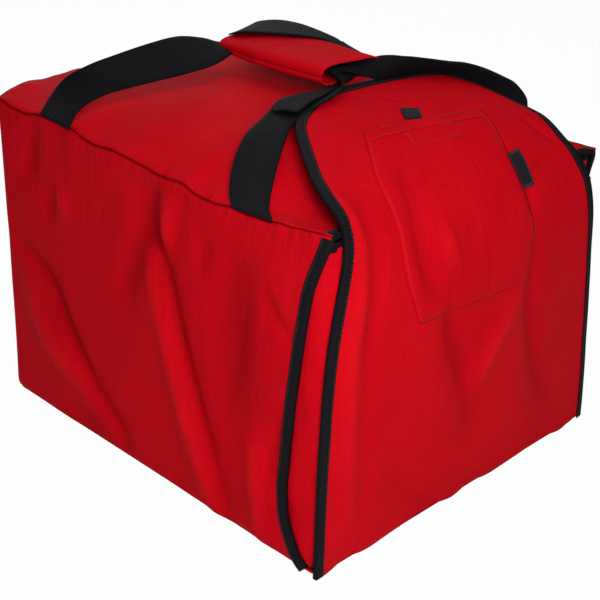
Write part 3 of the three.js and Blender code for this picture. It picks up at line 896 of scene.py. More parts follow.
@dataclass(frozen=True)
class Webbing:
    """Woven strap with cross ribs over lengthwise cords.

    Attributes:
        name: name of the material.
        rib: pitch of the ribs in millimetres.
        cord: pitch of the cords in millimetres.
        dark: colour between the yarns.
        pale: colour on top of them.
        relief: metres that a height of 1 stands for.
    """

    name: str = "webbing"
    rib: float = 2.9
    cord: float = 2.4
    dark: Colour = (0.0005, 0.0005, 0.0008, 1)
    pale: Colour = (0.010, 0.010, 0.013, 1)
    relief: float = 0.0009

    def build(self) -> bpy.types.Material:
        """Makes the material.

        Returns:
            The finished material.
        """
        r = Recipe(self.name)
        across, up = r.cloth()
        height = r.wave(up, self.rib) * 0.35 + r.wave(across, self.cord) * 0.15 + 0.5
        fine = r.grain(0.003, 2.0)
        woven = height * 0.8 + fine * 0.2
        r.set(
            Base_Color=r.mix(woven, self.dark, self.pale),
            Roughness=0.66 + fine * 0.16 - height * 0.1,
            Specular_IOR_Level=0.08,
            Normal=r.bump(woven, self.relief),
        )
        return r.material


@dataclass(frozen=True)
class Tape:
    """Binding tape with fine ribs across it.

    Attributes:
        name: name of the material.
        rib: pitch of the ribs in millimetres.
        dark: colour between the ribs.
        pale: colour on top of them.
        relief: metres that a height of 1 stands for.
    """

    name: str = "black_tape"
    rib: float = 1.1
    dark: Colour = (0.0008, 0.0006, 0.001, 1)
    pale: Colour = (0.007, 0.006, 0.008, 1)
    relief: float = 0.0002

    def build(self) -> bpy.types.Material:
        """Makes the material.

        Returns:
            The finished material.
        """
        r = Recipe(self.name)
        _, up = r.cloth()
        ribs = r.wave(up, self.rib) * 0.5 + 0.5
        fine = r.grain(0.0035, 2.0)
        r.set(
            Base_Color=r.mix(ribs * 0.4 + fine * 0.6, self.dark, self.pale),
            Roughness=0.6 + fine * 0.2,
            Specular_IOR_Level=0.10,
            Normal=r.bump(ribs * 0.6 + fine * 0.4, self.relief),
        )
        return r.material


@dataclass(frozen=True)
class Mottled:
    """A finish made of two cloudy noises.

    Attributes:
        name: name of the material.
        cloud: size in metres, detail and roughness of the noise that colours it.
        speck: the same of the noise that changes its roughness.
        dark: colour where the cloud is low.
        pale: colour where it is high.
        rough: roughness, and how much the speck adds.
        relief: metres that a height of 1 stands for.
        share: share of the cloud in the height.
        specular: specular level.
        sheen: weight of the sheen.
    """

    name: str
    cloud: Noise
    speck: Noise
    dark: Colour
    pale: Colour
    rough: tuple[float, float]
    relief: float
    share: float = 1.0
    specular: float = 0.5
    sheen: float = 0.0

    def build(self) -> bpy.types.Material:
        """Makes the material.

        Returns:
            The finished material.
        """
        r = Recipe(self.name)
        cloud, speck = r.grain(*self.cloud), r.grain(*self.speck)
        height = cloud
        if self.share < 1:
            height = cloud * self.share + speck * (1 - self.share)
        r.set(
            Base_Color=r.mix(cloud, self.dark, self.pale),
            Roughness=self.rough[0] + speck * self.rough[1],
            Specular_IOR_Level=self.specular,
            Sheen_Weight=self.sheen,
            Normal=r.bump(height, self.relief),
        )
        return r.material


@dataclass(frozen=True)
class Lining(Mottled):
    """Wipe-clean lining film with soft crinkles."""

    name: str = "lining"
    cloud: Noise = (0.03, 5.0, 0.6)
    speck: Noise = (0.006, 2.0, 0.5)
    dark: Colour = (0.012, 0.013, 0.015, 1)
    pale: Colour = (0.035, 0.036, 0.040, 1)
    rough: tuple[float, float] = (0.36, 0.2)
    relief: float = 0.0012
    share: float = 0.8


@dataclass(frozen=True)
class Grip(Mottled):
    """Hook and loop tape: short matt pile."""

    name: str = "hook_and_loop"
    cloud: Noise = (0.0016, 3.0, 0.7)
    speck: Noise = (0.02, 2.0, 0.5)
    dark: Colour = (0.002, 0.002, 0.003, 1)
    pale: Colour = (0.016, 0.016, 0.020, 1)
    rough: tuple[float, float] = (0.85, 0.1)
    relief: float = 0.0009
    specular: float = 0.08
    sheen: float = 0.04


@dataclass(frozen=True)
class Board(Mottled):
    """Grey stiffener board with pressed fibres."""

    name: str = "board"
    cloud: Noise = (0.008, 5.0, 0.65)
    speck: Noise = (0.008, 5.0, 0.65)
    dark: Colour = (0.16, 0.15, 0.13, 1)
    pale: Colour = (0.32, 0.30, 0.27, 1)
    rough: tuple[float, float] = (0.75, 0.15)
    relief: float = 0.0004


@dataclass(frozen=True)
class RedThread(Mottled):
    """Red sewing thread with a twist."""

    name: str = "red_thread"
    cloud: Noise = (0.0008, 2.0, 0.5)
    speck: Noise = (0.0008, 2.0, 0.5)
    dark: Colour = (0.18, 0.002, 0.006, 1)
    pale: Colour = (0.36, 0.004, 0.012, 1)
    rough: tuple[float, float] = (0.55, 0.2)
    relief: float = 0.0002


@dataclass(frozen=True)
class BlackThread(RedThread):
    """The same thread in black."""

    name: str = "black_thread"
    dark: Colour = (0.01, 0.01, 0.012, 1)
    pale: Colour = (0.02, 0.02, 0.024, 1)


@dataclass(frozen=True)
class LabelCloth:
    """Black satin label with a paler woven border and nothing written on it.

    Attributes:
        name: name of the material.
        width: width of the label in millimetres.
        length: its length in millimetres.
        side: width of the border along its sides.
        end: width of the border at its ends.
        rib: pitch of the satin in millimetres.
        dark: colour between the yarns.
        pale: colour on top of them.
        border: colour of the border.
        relief: metres that a height of 1 stands for.
    """

    name: str = "label"
    width: float = 18.0
    length: float = 46.0
    side: float = 2.2
    end: float = 3.4
    rib: float = 0.8
    dark: Colour = (0.003, 0.003, 0.004, 1)
    pale: Colour = (0.012, 0.012, 0.015, 1)
    border: Colour = (0.030, 0.030, 0.036, 1)
    relief: float = 0.0002

    @staticmethod
    def band(r: Recipe, place: Wire, whole: float, border: float) -> Wire:
        """Border at both ends of a distance.

        Args:
            r: the material.
            place: the distance.
            whole: its full length.
            border: width of the border.

        Returns:
            1 on the border and 0 inside it.
        """
        off = r.node("Math", {"operation": "ABSOLUTE"}, {0: place - whole / 2})
        return r.node("Math", {"operation": "GREATER_THAN"}, {0: off, 1: whole / 2 - border})

    def build(self) -> bpy.types.Material:
        """Makes the material.

        Returns:
            The finished material.
        """
        r = Recipe(self.name)
        across, up = r.cloth()
        sides = self.band(r, across, self.width, self.side)
        ends = self.band(r, up, self.length, self.end)
        rim = r.node("Math", {"operation": "MAXIMUM"}, {0: sides, 1: ends})
        satin = r.wave(up, self.rib) * 0.5 + 0.5
        r.set(
            Base_Color=r.mix(rim * 0.8, r.mix(satin, self.dark, self.pale), self.border),
            Roughness=0.42 + satin * 0.15,
            Specular_IOR_Level=0.15,
            Normal=r.bump(satin, self.relief),
        )
        return r.material


@dataclass
class Wardrobe:
    """Every finish of the bag, built once."""

    nylon: bpy.types.Material = field(default_factory=lambda: Nylon().build())
    seamed: bpy.types.Material = field(default_factory=lambda: Nylon("seamed_nylon", True).build())
    webbing: bpy.types.Material = field(default_factory=lambda: Webbing().build())
    tape: bpy.types.Material = field(default_factory=lambda: Tape().build())
    lining: bpy.types.Material = field(default_factory=lambda: Lining().build())
    grip: bpy.types.Material = field(default_factory=lambda: Grip().build())
    board: bpy.types.Material = field(default_factory=lambda: Board().build())
    label: bpy.types.Material = field(default_factory=lambda: LabelCloth().build())
    red_thread: bpy.types.Material = field(default_factory=lambda: RedThread().build())
    black_thread: bpy.types.Material = field(default_factory=lambda: BlackThread().build())


class Side(Enum):
    """A side of the bag, with its direction along x."""

    LEFT = -1.0
    RIGHT = 1.0

    @property
    def word(self) -> str:
        """The side's name as it stands in the names of its pieces."""
        return self.name.lower()


LEFT_FOLDS = (
    Crease(((-1, 304), (-24, 268), (-48, 201), (-81, 125), (-115, 53), (-137, 6)), -12, 11, 1.35),
    Crease(((-4, 267), (-66, 119), (-109, 38), (-126, 5)), 9, 18),
    Crease(((-6, 344), (7, 290), (39, 206)), -8, 17),
    Crease(((-134, 315), (-129, 240), (-130, 136)), -9, 26),
    Crease(((226, 214), (170, 184), (140, 137), (93, 79), (50, 47), (32, 20)), -10, 13, 1.3),
    Crease(((209, 170), (173, 106), (111, 75), (57, 38)), 8, 17),
    Crease(((196, 338), (202, 294)), -7, 12),
    Crease(((142, 297), (133, 270)), 5, 12),
    Crease(((-29, 347), (-35, 285)), 7, 13),
    Crease(((160, 291), (167, 250)), -5, 11),
    Crease(((-44, 324), (-40, 273)), -5, 8),
    Crease(((-88, 321), (-80, 279)), -5, 10),
    Crease(((-167, 289), (-184, 265), (-204, 255)), -5, 8, 1.3),
    Crease(((-165, 132), (-172, 69), (-186, 10)), 7, 12),
    Crease(((-198, 163), (-186, 91)), -5, 9),
)


@dataclass
class Body:
    """The padded box: outer shell, liner and the tape round the opening.

    Attributes:
        form: the bag's overall shape.
        wardrobe: the finishes.
        cuts: cuts across each panel of the shell.
        liner_cuts: the same of the liner.
        skin: thickness of the shell.
        lining: thickness of the liner.
        inset: how far inside the shell the liner lies.
        thin: share of that distance that is left at the opening.
        wall_run: share of the depth over which it grows to the whole.
        floor_run: the same for the floor.
        stack: thickness of the cloth that the tape folds round.
        tape: how far the tape reaches onto each face.
        floor_stack: height of the liner's floor.
        dent: height of the soft dents in the side walls.
        back_dent: height of those in the back.
        pucker: height of the puckers along the seams.
        seam_wave: how far the top's seam rises and falls.
        top_fold: height of the folds on the top panel.
        valley: depth of a fold that counts as a full valley in the painted shade.
    """

    form: BagForm
    wardrobe: Wardrobe
    cuts: int = 64
    liner_cuts: int = 34
    skin: float = 0.0015
    lining: float = 0.0012
    inset: float = 0.0105
    thin: float = 0.28
    wall_run: float = 0.09
    floor_run: float = 0.03
    stack: float = 0.0045
    tape: float = 0.0090
    floor_stack: float = 0.0156
    dent: float = 0.0016
    back_dent: float = 0.003
    pucker: float = 0.0012
    seam_wave: float = 0.0016
    top_fold: float = 0.0022
    valley: float = 0.0095

    def padding(self, deep: Array, run: float) -> Array:
        """Share of the padding that is there, thin at the opening and full after a run."""
        return self.thin + (1 - self.thin) * ease(deep / run)

    def shape(self, cube: Array, inset: float, folds: float) -> Array:
        """Places points of a cube from -1 to 1 on the body.

        Args:
            cube: points on the cube's surface.
            inset: how far inside the outer shell they lie.
            folds: share of the outer creases that they take.

        Returns:
            Points on the body.
        """
        f = self.form
        a, b, c = cube.T
        top = c > ON_FACE
        high = (c + 1) / 2
        deep = (b + 1) / 2
        floor = (self.floor_stack if inset > 0 else 0.0) * self.padding(deep, self.floor_run)
        inset = inset * self.padding(deep, self.wall_run)
        half, seam, rear = f.half_width - inset, f.seam - inset, f.back - inset
        x = a * half
        z = floor + high * (seam - floor)
        middle = f.across(x)
        front = np.where(top, f.front_top + f.mouth_pull * middle, f.mouth(z))
        front = np.where(c < -ON_FACE, f.front_foot, front)
        y = front + deep * (rear - front)
        gap_x, gap_y = rounded(half - np.abs(x), rear - y, f.corner)
        x = np.sign(x) * (half - gap_x)
        y = rear - gap_y
        # The foot is rounded with whichever wall stands nearer.
        wall_gap = np.minimum(gap_x, gap_y)
        lifted_gap, lifted = rounded(wall_gap, z - floor, f.foot_corner)
        move = lifted_gap - wall_gap
        toward_side = gap_x <= gap_y
        x = np.where(toward_side, x - np.sign(x) * move, x)
        y = np.where(toward_side, y, y - move)
        z = floor + lifted
        drop = f.mouth_drop * middle * np.exp(-deep / f.mouth_fade)
        arch = f.rear_arch * middle * np.where(top, 0, high**6) * (b > ON_FACE)
        z = np.where(top, seam + f.dome(x, y) - f.seam - drop, z + arch)
        out = self.relax(np.stack([x, y, z], -1), cube, middle)
        if folds:
            out = self.crumple(out, cube, folds)
        return f.lean(out)

    def relax(self, points: Array, cube: Array, middle: Array) -> Array:
        """Swells the walls, flares the rear left corner and bends the opening's right edge.

        Args:
            points: places on the plain box.
            cube: the same points on the cube.
            middle: share of the dome's height over each point.

        Returns:
            Places on the relaxed box.
        """
        f = self.form
        a, b, c = cube.T
        x, y, z = points.T
        wall = c <= ON_FACE
        high = (c + 1) / 2
        deep = (b + 1) / 2
        bulge = f.swell * np.sin(np.pi * high) ** 0.8
        bulge = bulge * np.sin(np.pi * np.clip(deep, 0.02, 1)) ** 0.5
        x = np.where((np.abs(a) > ON_FACE) & wall, x + np.sign(x) * bulge, x)
        y = np.where((b > ON_FACE) & wall, y + 0.4 * bulge * middle, y)
        apart = ((x + f.half_width) ** 2 + (y - f.back) ** 2) / f.flare_reach**2
        near = np.exp(-apart) * (1.1 * high**2.2 - 0.15)
        x = x - f.flare[0] * near
        y = y + f.flare[1] * near
        back = f.pinch(z) * ease((x - 0.13) / 0.09)
        forward = f.bow(z) * ease((x - 0.18) / 0.05)
        y = y + np.exp(-deep / f.edge_fade) * (back - forward)
        return np.stack([x, y, z], -1)

    def crumple(self, points: Array, cube: Array, amount: float) -> Array:
        """Adds the folds, the puckers along the seams and soft dents.

        Args:
            points: places on the smooth body.
            cube: the same points on the cube.
            amount: share of the folds.

        Returns:
            Places on the crumpled body.
        """
        a, b, c = cube.T
        x, y, z = points.T
        p = points.copy()
        high = (c + 1) / 2
        under = (1 - high) * self.form.seam
        left = (a < -ON_FACE) & (np.abs(c) < 0.9999)
        right = (a > ON_FACE) & (np.abs(c) < 0.9999)
        rear = (b > ON_FACE) & (np.abs(c) < 0.9999) & ~left & ~right
        top = c > ON_FACE
        # The right wall and the back repeat the left wall's folds at another scale.
        fold = sum(crease.lift(y, z) for crease in LEFT_FOLDS)
        mirror = sum(crease.lift(y * 0.8 + 0.03, z * 1.05) for crease in LEFT_FOLDS[:8])
        sag = sum(crease.lift(x * 0.9 - 0.02, z) for crease in LEFT_FOLDS[:10])
        calm = np.clip(np.minimum(high, 1 - high) / 0.04, 0, 1)
        near_seam = np.exp(-(under / 0.03))
        dents = rough(points, 0.16, 1.0, 3)
        pucker = rough(np.stack([y, z * 0.22, x * 0], -1), 0.020, 2.0, 2)
        back_pucker = rough(np.stack([x, z * 0.22, y * 0], -1), 0.022, 5.0, 2)
        soft = self.dent * dents + self.pucker * pucker * near_seam
        back_soft = self.back_dent * dents + self.pucker * back_pucker * near_seam
        p[:, 0] -= np.where(left, amount * (fold * calm + soft), 0)
        p[:, 0] += np.where(right, amount * (mirror * calm + soft), 0)
        p[:, 1] += np.where(rear, amount * (0.7 * sag * calm + back_soft), 0)
        side_gap = self.form.half_width - np.abs(x)
        back_gap = self.form.back - y
        edge = np.minimum(side_gap, back_gap)
        ripple = np.where(side_gap < back_gap, pucker, back_pucker)
        top_fold = rough(points, 0.11, 4.0, 2) * np.clip(edge / 0.03, 0, 1)
        wavy = top_fold + ripple * np.exp(-edge / 0.022)
        p[:, 2] += np.where(top, amount * self.top_fold * wavy, 0)
        p[:, 2] += np.where(~top, amount * self.seam_wave * ripple * np.exp(-(under / 0.012)), 0)
        near_side = np.exp(-((side_gap / self.form.sway_reach) ** 2))
        sway = self.form.sway(y) * np.where(x < 0, 1, 0.4) * near_side
        p[:, 2] += sway * np.where(top, 1, np.exp(-((under / 0.06) ** 2)))
        return p

    def box(self, name: str, inset: float, folds: float, cuts: int) -> bpy.types.Object:
        """A box of cloth without a front, as one mesh.

        Args:
            name: name of the piece.
            inset: how far inside the outer shell it lies.
            folds: share of the outer creases that it takes.
            cuts: cuts across each panel.

        Returns:
            The new object.
        """
        bm = bmesh.new()
        bmesh.ops.create_cube(bm, size=2.0)
        front = [f for f in bm.faces if f.normal.y < -0.5]
        bmesh.ops.delete(bm, geom=front, context="FACES_ONLY")
        bmesh.ops.subdivide_edges(bm, edges=bm.edges[:], cuts=cuts, use_grid_fill=True)
        mesh = bpy.data.meshes.new(name)
        bm.to_mesh(mesh)
        bm.free()
        cube = Piece.points(mesh)
        plain = self.shape(cube, inset, 0.0)
        Piece.place(mesh, self.shape(cube, inset, folds))
        self.cut_plan(mesh, cube)
        # Fold depths for the painted shade in the side walls' valleys and the painted highlight on their
        # ridges, full on the left wall and half on the right.
        fold = sum(crease.lift(plain[:, 1], plain[:, 2]) for crease in LEFT_FOLDS)
        side = np.where(np.abs(cube[:, 0]) > ON_FACE, 1, 0) * np.where(cube[:, 0] < 0, 1, 0.5)
        Piece.hollow(mesh, -fold / self.valley * side)
        return Piece.finish(name, mesh)

    def cut_plan(self, mesh: bpy.types.Mesh, cube: Array) -> None:
        """Maps each panel's weave straight along its own edges.

        Args:
            mesh: the box.
            cube: its points on the cube.
        """
        layer = mesh.uv_layers.new(name="weave")
        edges = mesh.uv_layers.new(name="seam")
        size = np.array([self.form.half_width, 0.2475, self.form.seam / 2])
        far = 9.0
        flat = np.zeros((len(mesh.loops), 2), np.float32)
        seam = np.zeros((len(mesh.loops), 2), np.float32)
        for polygon in mesh.polygons:
            corners = cube[list(polygon.vertices)]
            middle = corners.mean(0)
            axis = int(np.argmax(np.abs(middle)))
            keep = [k for k in range(3) if k != axis]
            loops = list(polygon.loop_indices)
            flat[loops] = (corners * size)[:, keep] + 2.0 * axis
            gaps = (1 - np.abs(corners)) * size
            gaps[:, axis] = far
            if middle[1] < 0:
                gaps[:, 1] = far
            if axis != 2 and middle[2] < 0:
                gaps[:, 2] = far
            nearest = int(np.argmin(gaps.mean(0)))
            other = next(k for k in keep if k != nearest)
            seam[loops, 0] = gaps[:, nearest]
            seam[loops, 1] = (corners * size)[:, other] + axis
        layer.data.foreach_set("uv", flat.ravel())
        edges.data.foreach_set("uv", seam.ravel())

    def build(self) -> None:
        """Makes the shell and the liner."""
        shell = self.box("body_shell", 0.0, 1.0, self.cuts)
        Piece.thick(shell, self.skin)
        Piece.dress(shell, "red_nylon", self.wardrobe.seamed)
        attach(shell, "bag")
        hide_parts("outer_left", "outer_right", "outer_top", "outer_back", "outer_bottom")
        liner = self.box("body_liner", self.inset, 0.5, self.liner_cuts)
        liner.data.flip_normals()
        Piece.dress(liner, "lining", self.wardrobe.lining)
        Piece.thick(liner, self.lining)
        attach(liner, "bag")
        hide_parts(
            *(f"{layer}_{panel}" for layer in ("insulation", "lining")
                     for panel in ("left", "right", "top", "back", "bottom"))
        )

    def edge_tape(self) -> None:
        """Folds one run of tape up the left edge of the opening, over its top and down the right."""
        rows, across = 90, 110
        up = np.linspace(-0.94, 1.0, rows)
        over = np.linspace(-1.0, 1.0, across + 2)[1:-1]
        a = np.concatenate([np.full(rows, -1.0), over, np.full(rows, 1.0)])
        c = np.concatenate([up, np.ones(across), up[::-1]])
        path = self.shape(np.stack([a, np.full_like(a, -1.0), c], -1), 0.0, 1.0)
        sides = ((-1.0, 0.0, 0.0), (0.0, 0.0, 1.0), (1.0, 0.0, 0.0))
        normal = np.concatenate([np.tile(n, (k, 1)) for n, k in zip(sides, (rows, across, rows))])
        # The path and its normals turn smoothly over the two corners.
        for _ in range(4):
            path[1:-1] = (path[:-2] + path[1:-1] + path[2:]) / 3
            normal[1:-1] = (normal[:-2] + normal[1:-1] + normal[2:]) / 3
        normal = unit(normal)
        tangent = unit(np.gradient(path, axis=0))
        inward = unit(np.cross(normal, tangent))
        path = path - normal * (self.stack / 2 - 0.0006)
        tape = Piece.ribbon("edge_tape", path, inward, normal, self.stack, self.tape)
        Piece.dress(tape, "black_tape", self.wardrobe.tape)
        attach(tape, "bag")
        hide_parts("binding_left", "binding_right", "binding_top")
        row = path + inward * (self.tape - 0.002) + normal * (self.stack / 2 + 0.0011)
        thread = Piece.stitches("stitches_edge_tape", row, normal, *TAPE_STITCH)
        Piece.dress(thread, "black_tape", self.wardrobe.black_thread)
        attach(thread, "bag")


@dataclass
class FlapForm:
    """The flap's outer face at rest: from its sewn foot over the front and back along the dome.

    Attributes:
        edge: (y, z) of the face at the body's sides, in millimetres, one per station.
        centre: the same in the middle.
        left: distance of the left edge from the middle at each station.
        right: distance of the right edge.
        corner: radius of the tongue's corners.
        stack: thickness of the padded flap.
        dent: height of the soft dents.
        curl: how far the tongue's right edge turns up.
        ripple: height of the waves along the foot.
        valley: depth of a fold that counts as a full valley in the painted shade.
    """

    form: BagForm
    edge: tuple[tuple[float, float], ...] = (
        (-252.9, 3.5), (-252, 60), (-249, 150), (-247, 240), (-249, 300), (-251, 342),
        (-248, 362), (-238, 372), (-205, 375), (-160, 375), (-115, 375), (-69, 375),
    )
    centre: tuple[tuple[float, float], ...] = (
        (-252.9, 3.5), (-255, 60), (-256.4, 150), (-256, 240), (-251, 290), (-237, 333),
        (-221, 358), (-203, 377), (-180, 395), (-150, 411), (-110, 421.5), (-69, 427),
    )
    left: tuple[float, ...] = (237, 239, 239, 236, 231, 224, 220, 217, 206, 182, 152, 118)
    right: tuple[float, ...] = (243, 241, 235, 227, 220, 211, 204, 202, 205, 206, 192, 160)
    corner: float = 0.045
    stack: float = 0.0083
    dent: float = 0.0013
    curl: float = 0.009
    ripple: float = 0.0026
    valley: float = 0.0075

    @property
    def last(self) -> float:
        """Station of the tongue's end."""
        return len(self.edge) - 1.0

    @property
    def fine(self) -> Array:
        """Close stations from the foot to the tongue's end."""
        return np.linspace(0, self.last, 400)

    def plain(self, x: Array, s: Array) -> Array:
        """Outer face of the flap before its folds and the bag's lean.

        Args:
            x: places across.
            s: stations.

        Returns:
            Places on the face.
        """
        g = self.form.across(x)[..., None]
        yz = (curve(self.edge, s) * (1 - g) + curve(self.centre, s) * g) / 1000
        return np.stack([x, yz[..., 0], yz[..., 1]], -1)

    def wrinkled(self, x: Array, s: Array) -> Array:
        """Outer face with its folds.

        Args:
            x: places across.
            s: stations.

        Returns:
            Places on the face.
        """
        base = self.plain(x, s)
        h = 0.002
        across = self.plain(x + h, s) - self.plain(x - h, s)
        up = self.plain(x, s + 0.02) - self.plain(x, s - 0.02)
        out = unit(np.cross(across, up))
        run = self.run(s)
        fold = sum(crease.lift(x, run) for crease in FLAP_FOLDS)
        dent = self.dent * rough(base.reshape(-1, 3), 0.15, 3.0, 3).reshape(np.shape(x))
        curl = self.curl * ease((x - 0.100) / 0.090) * ease((s - 7.2) / 1.4)
        curl = curl + self.ripple * np.sin(x * 58 + 1.3 * np.sin(x * 31)) * np.exp(-s / 0.35)
        return base + out * (fold + dent)[..., None] + curl[..., None] * UP

    def shade(self, obj: bpy.types.Object) -> None:
        """Stores the fold depths of a piece that lies on the flap, for its painted shade in the valleys
        and painted highlight on the ridges.

        Args:
            obj: the piece.
        """
        points = Piece.points(obj.data)
        fine = self.fine
        mid = self.plain(np.zeros(len(fine)), fine)
        near = np.array([np.argmin(np.hypot(mid[:, 1] - y, mid[:, 2] - z)) for _, y, z in points])
        fold = sum(crease.lift(points[:, 0], self.run(fine[near])) for crease in FLAP_FOLDS)
        Piece.hollow(obj.data, -fold / self.valley)

    def run(self, s: Array) -> Array:
        """Length along the middle of the flap up to a station, in metres."""
        return np.interp(s, self.fine, lengths(curve(self.centre, self.fine)) / 1000)

    def at(self, x: Array, s: Array, lift: float | Array = 0.0) -> Array:
        """Places on the flap.

        Args:
            x: places across.
            s: stations from 0 at the foot to last at the tongue's end.
            lift: height over the outer face, negative for behind it.

        Returns:
            Places on the sagging bag.
        """
        p = self.form.lean(self.wrinkled(x, s))
        return p + self.normal(x, s) * np.asarray(lift)[..., None]

    def normal(self, x: Array, s: Array) -> Array:
        """Directions out of the outer face.

        Args:
            x: places across.
            s: stations.

        Returns:
            Unit vectors.
        """
        lean, face = self.form.lean, self.wrinkled
        h = 0.003
        low, high = np.maximum(s - 0.03, 0), np.minimum(s + 0.03, self.last)
        across = lean(face(x + h, s)) - lean(face(x - h, s))
        up = lean(face(x, high)) - lean(face(x, low))
        return unit(np.cross(across, up))

    def cut(self, u: Array, v: Array) -> tuple[Array, Array]:
        """Outline of the flap.

        Args:
            u: share across, 0 at the left edge.
            v: share of the length, 0 at the foot.

        Returns:
            Places across and stations.
        """
        s = v * self.last
        left = curve(np.array(self.left)[:, None], s)[..., 0] / 1000
        right = curve(np.array(self.right)[:, None], s)[..., 0] / 1000
        width = left + right
        run, total = self.run(s), float(self.run(np.array(self.last)))
        side = np.minimum(u, 1 - u) * width
        gap, end = rounded(side, total - run, self.corner)
        x = np.where(u < 0.5, -left + gap, right - gap)
        return x, np.interp(total - end, self.run(self.fine), self.fine)


FLAP_FOLDS = (
    Crease(((-94, 400), (-110, 345), (-106, 292), (-87, 262)), -6, 13, 1.2),
    Crease(((-72, 330), (-70, 290)), 5, 13),
    Crease(((-67, 249), (-61, 219), (-28, 151), (-1, 84)), -7, 14, 1.2),
    Crease(((53, 227), (16, 180), (-14, 132)), 6, 16),
    Crease(((79, 276), (77, 224), (98, 153), (134, 82), (162, 47)), -6, 14, 1.2),
    Crease(((71, 400), (76, 310)), -4, 9),
    Crease(((94, 355), (125, 362)), -3.5, 7, 1.2),
    Crease(((-200, 420), (-202, 300), (-208, 218), (-198, 60)), 5, 14),
    Crease(((-178, 400), (-180, 300), (-186, 218), (-178, 60)), -3, 12),
    Crease(((140, 430), (176, 400)), -4, 10),
    Crease(((-140, 90), (-100, 40), (-60, 12)), -3, 16),
)


@dataclass
class Flap:
    """The roll-over flap with its tape, pocket, closing patch and label.

    Attributes:
        face: the flap's outer face.
        wardrobe: the finishes.
        tape: how far the tape reaches onto each face.
        bound: thickness of the flap where the tape holds it.
        size: width and length of the flat flap.
        rim: width over which the padding thins towards the edge.
    """

    face: FlapForm
    wardrobe: Wardrobe
    tape: float = 0.0092
    bound: float = 0.0040
    size: tuple[float, float] = (0.47, 0.60)
    rim: float = 0.026

    def follow(self, obj: bpy.types.Object) -> None:
        """Bakes a piece's placement into its mesh."""
        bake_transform(obj)

    def build(self) -> None:
        """Makes the padded sheet."""
        face = self.face

        def shape(u: Array, v: Array) -> Array:
            """Places the cloth on the flap's outline."""
            return face.at(*face.cut(u, v), 0.0)

        pad = Piece.sheet("flap_pad", (96, 128), shape, self.size, INSIDE_FLAP)
        face.shade(pad)
        flat = np.empty((len(pad.data.vertices), 2))
        layer = pad.data.uv_layers["weave"].data
        for loop in pad.data.loops:
            flat[loop.vertex_index] = layer[loop.index].uv
        gap = np.minimum(flat, np.array(self.size) - flat).min(-1)
        group = pad.vertex_groups.new(name="padding")
        for i, weight in enumerate(ease(gap / self.rim)):
            group.add([i], float(weight), "REPLACE")
        Piece.thick(pad, face.stack, -1.0, 1)
        pad.modifiers["thickness"].vertex_group = "padding"
        pad.modifiers["thickness"].thickness_vertex_group = self.bound / face.stack
        Piece.dress(pad, "red_nylon", self.wardrobe.nylon, self.wardrobe.lining)
        self.follow(pad)
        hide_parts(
            "flap_outer", "flap_insulation", "flap_lining",
            "tongue_outer", "tongue_insulation", "tongue_lining",
        )

    def edge_tape(self) -> None:
        """Folds tape round both sides and the end of the tongue."""
        face = self.face
        rows, across = 110, 68
        up = np.linspace(0, 1, rows)
        over = np.linspace(0, 1, across + 2)[1:-1]
        u = np.concatenate([np.zeros(rows), over, np.ones(rows)])
        v = np.concatenate([up, np.ones(across), up[::-1]])
        x, s = face.cut(u, v)
        path = face.at(x, s, -self.bound / 2)
        normal = face.normal(x, s)
        tangent = unit(np.gradient(path, axis=0))
        inward = unit(np.cross(tangent, normal))
        tape = Piece.ribbon("flap_tape", path, inward, normal, self.bound, self.tape)
        Piece.dress(tape, "black_tape", self.wardrobe.tape)
        self.follow(tape)
        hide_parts("flap_binding_left", "flap_binding_right", "tongue_binding")
        seam = path + inward * (self.tape - 0.0018) + normal * (self.bound / 2 + 0.0011)
        row = Piece.stitches("stitches_flap_tape", seam, normal, *TAPE_STITCH)
        Piece.dress(row, "black_tape", self.wardrobe.black_thread)
        self.follow(row)

    @staticmethod
    def outline(u: Array, v: Array) -> tuple[Array, Array]:
        """Outline of the order pocket.

        Args:
            u: shares from its left edge to its right.
            v: shares from its foot to its mouth.

        Returns:
            Places across and stations.
        """
        left = ((-116, 3.1), (-137, 4.3), (-140, 6.2), (-133, 7.5), (-98, 9.05))
        right = ((76, 3.05), (78, 4.2), (75, 5.6), (76, 7.2), (84, 8.72))
        a, b = curve(left, 4 * v), curve(right, 4 * v)
        mid = a + (b - a) * u[..., None]
        return mid[..., 0] / 1000, mid[..., 1]

    def pocket(self) -> None:
        """Sews the order pocket over the roll, with its hem."""
        face = self.face

        def shape(u: Array, v: Array) -> Array:
            """Lays the pocket a little proud of the flap.

            Args:
                u: shares across.
                v: shares along.

            Returns:
                One place per pair of shares.
            """
            inner = np.clip(np.minimum(u, 1 - u) / 0.04, 0, 1) * np.clip(v / 0.03, 0, 1)
            return face.at(*self.outline(u, v), 0.0009 + 0.0010 * inner)

        panel = Piece.sheet("pocket_panel", (40, 52), shape, (0.222, 0.245), INSIDE_FLAP)
        face.shade(panel)
        Piece.thick(panel, 0.0008)
        Piece.dress(panel, "red_nylon", self.wardrobe.nylon)
        self.follow(panel)
        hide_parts("pocket_lower", "pocket_upper")

        def hem_shape(u: Array, v: Array) -> Array:
            """Rolls the hem along the mouth."""
            lift = 0.0013 + 0.0012 * np.clip(np.minimum(u, 1 - u) / 0.04, 0, 1)
            return face.at(*self.outline(u, 0.925 + 0.075 * v), lift)

        hem = Piece.sheet("pocket_hem_band", (40, 5), hem_shape, (0.19, 0.014), INSIDE_FLAP)
        Piece.thick(hem, 0.0009)
        Piece.dress(hem, "red_nylon", self.wardrobe.nylon)
        self.follow(hem)
        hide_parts("pocket_hem")

    def patches(self) -> None:
        """Lays the closing patch behind the pocket's mouth and the label at its right end."""
        def tab_shape(u: Array, v: Array) -> Array:
            """Places the closing patch."""
            corners = np.array([(-34, 9.06), (-12, 8.90), (-22, 9.46), (-1, 9.28)])
            return self.at_corners(corners, u, v, np.full_like(u, 0.0026))

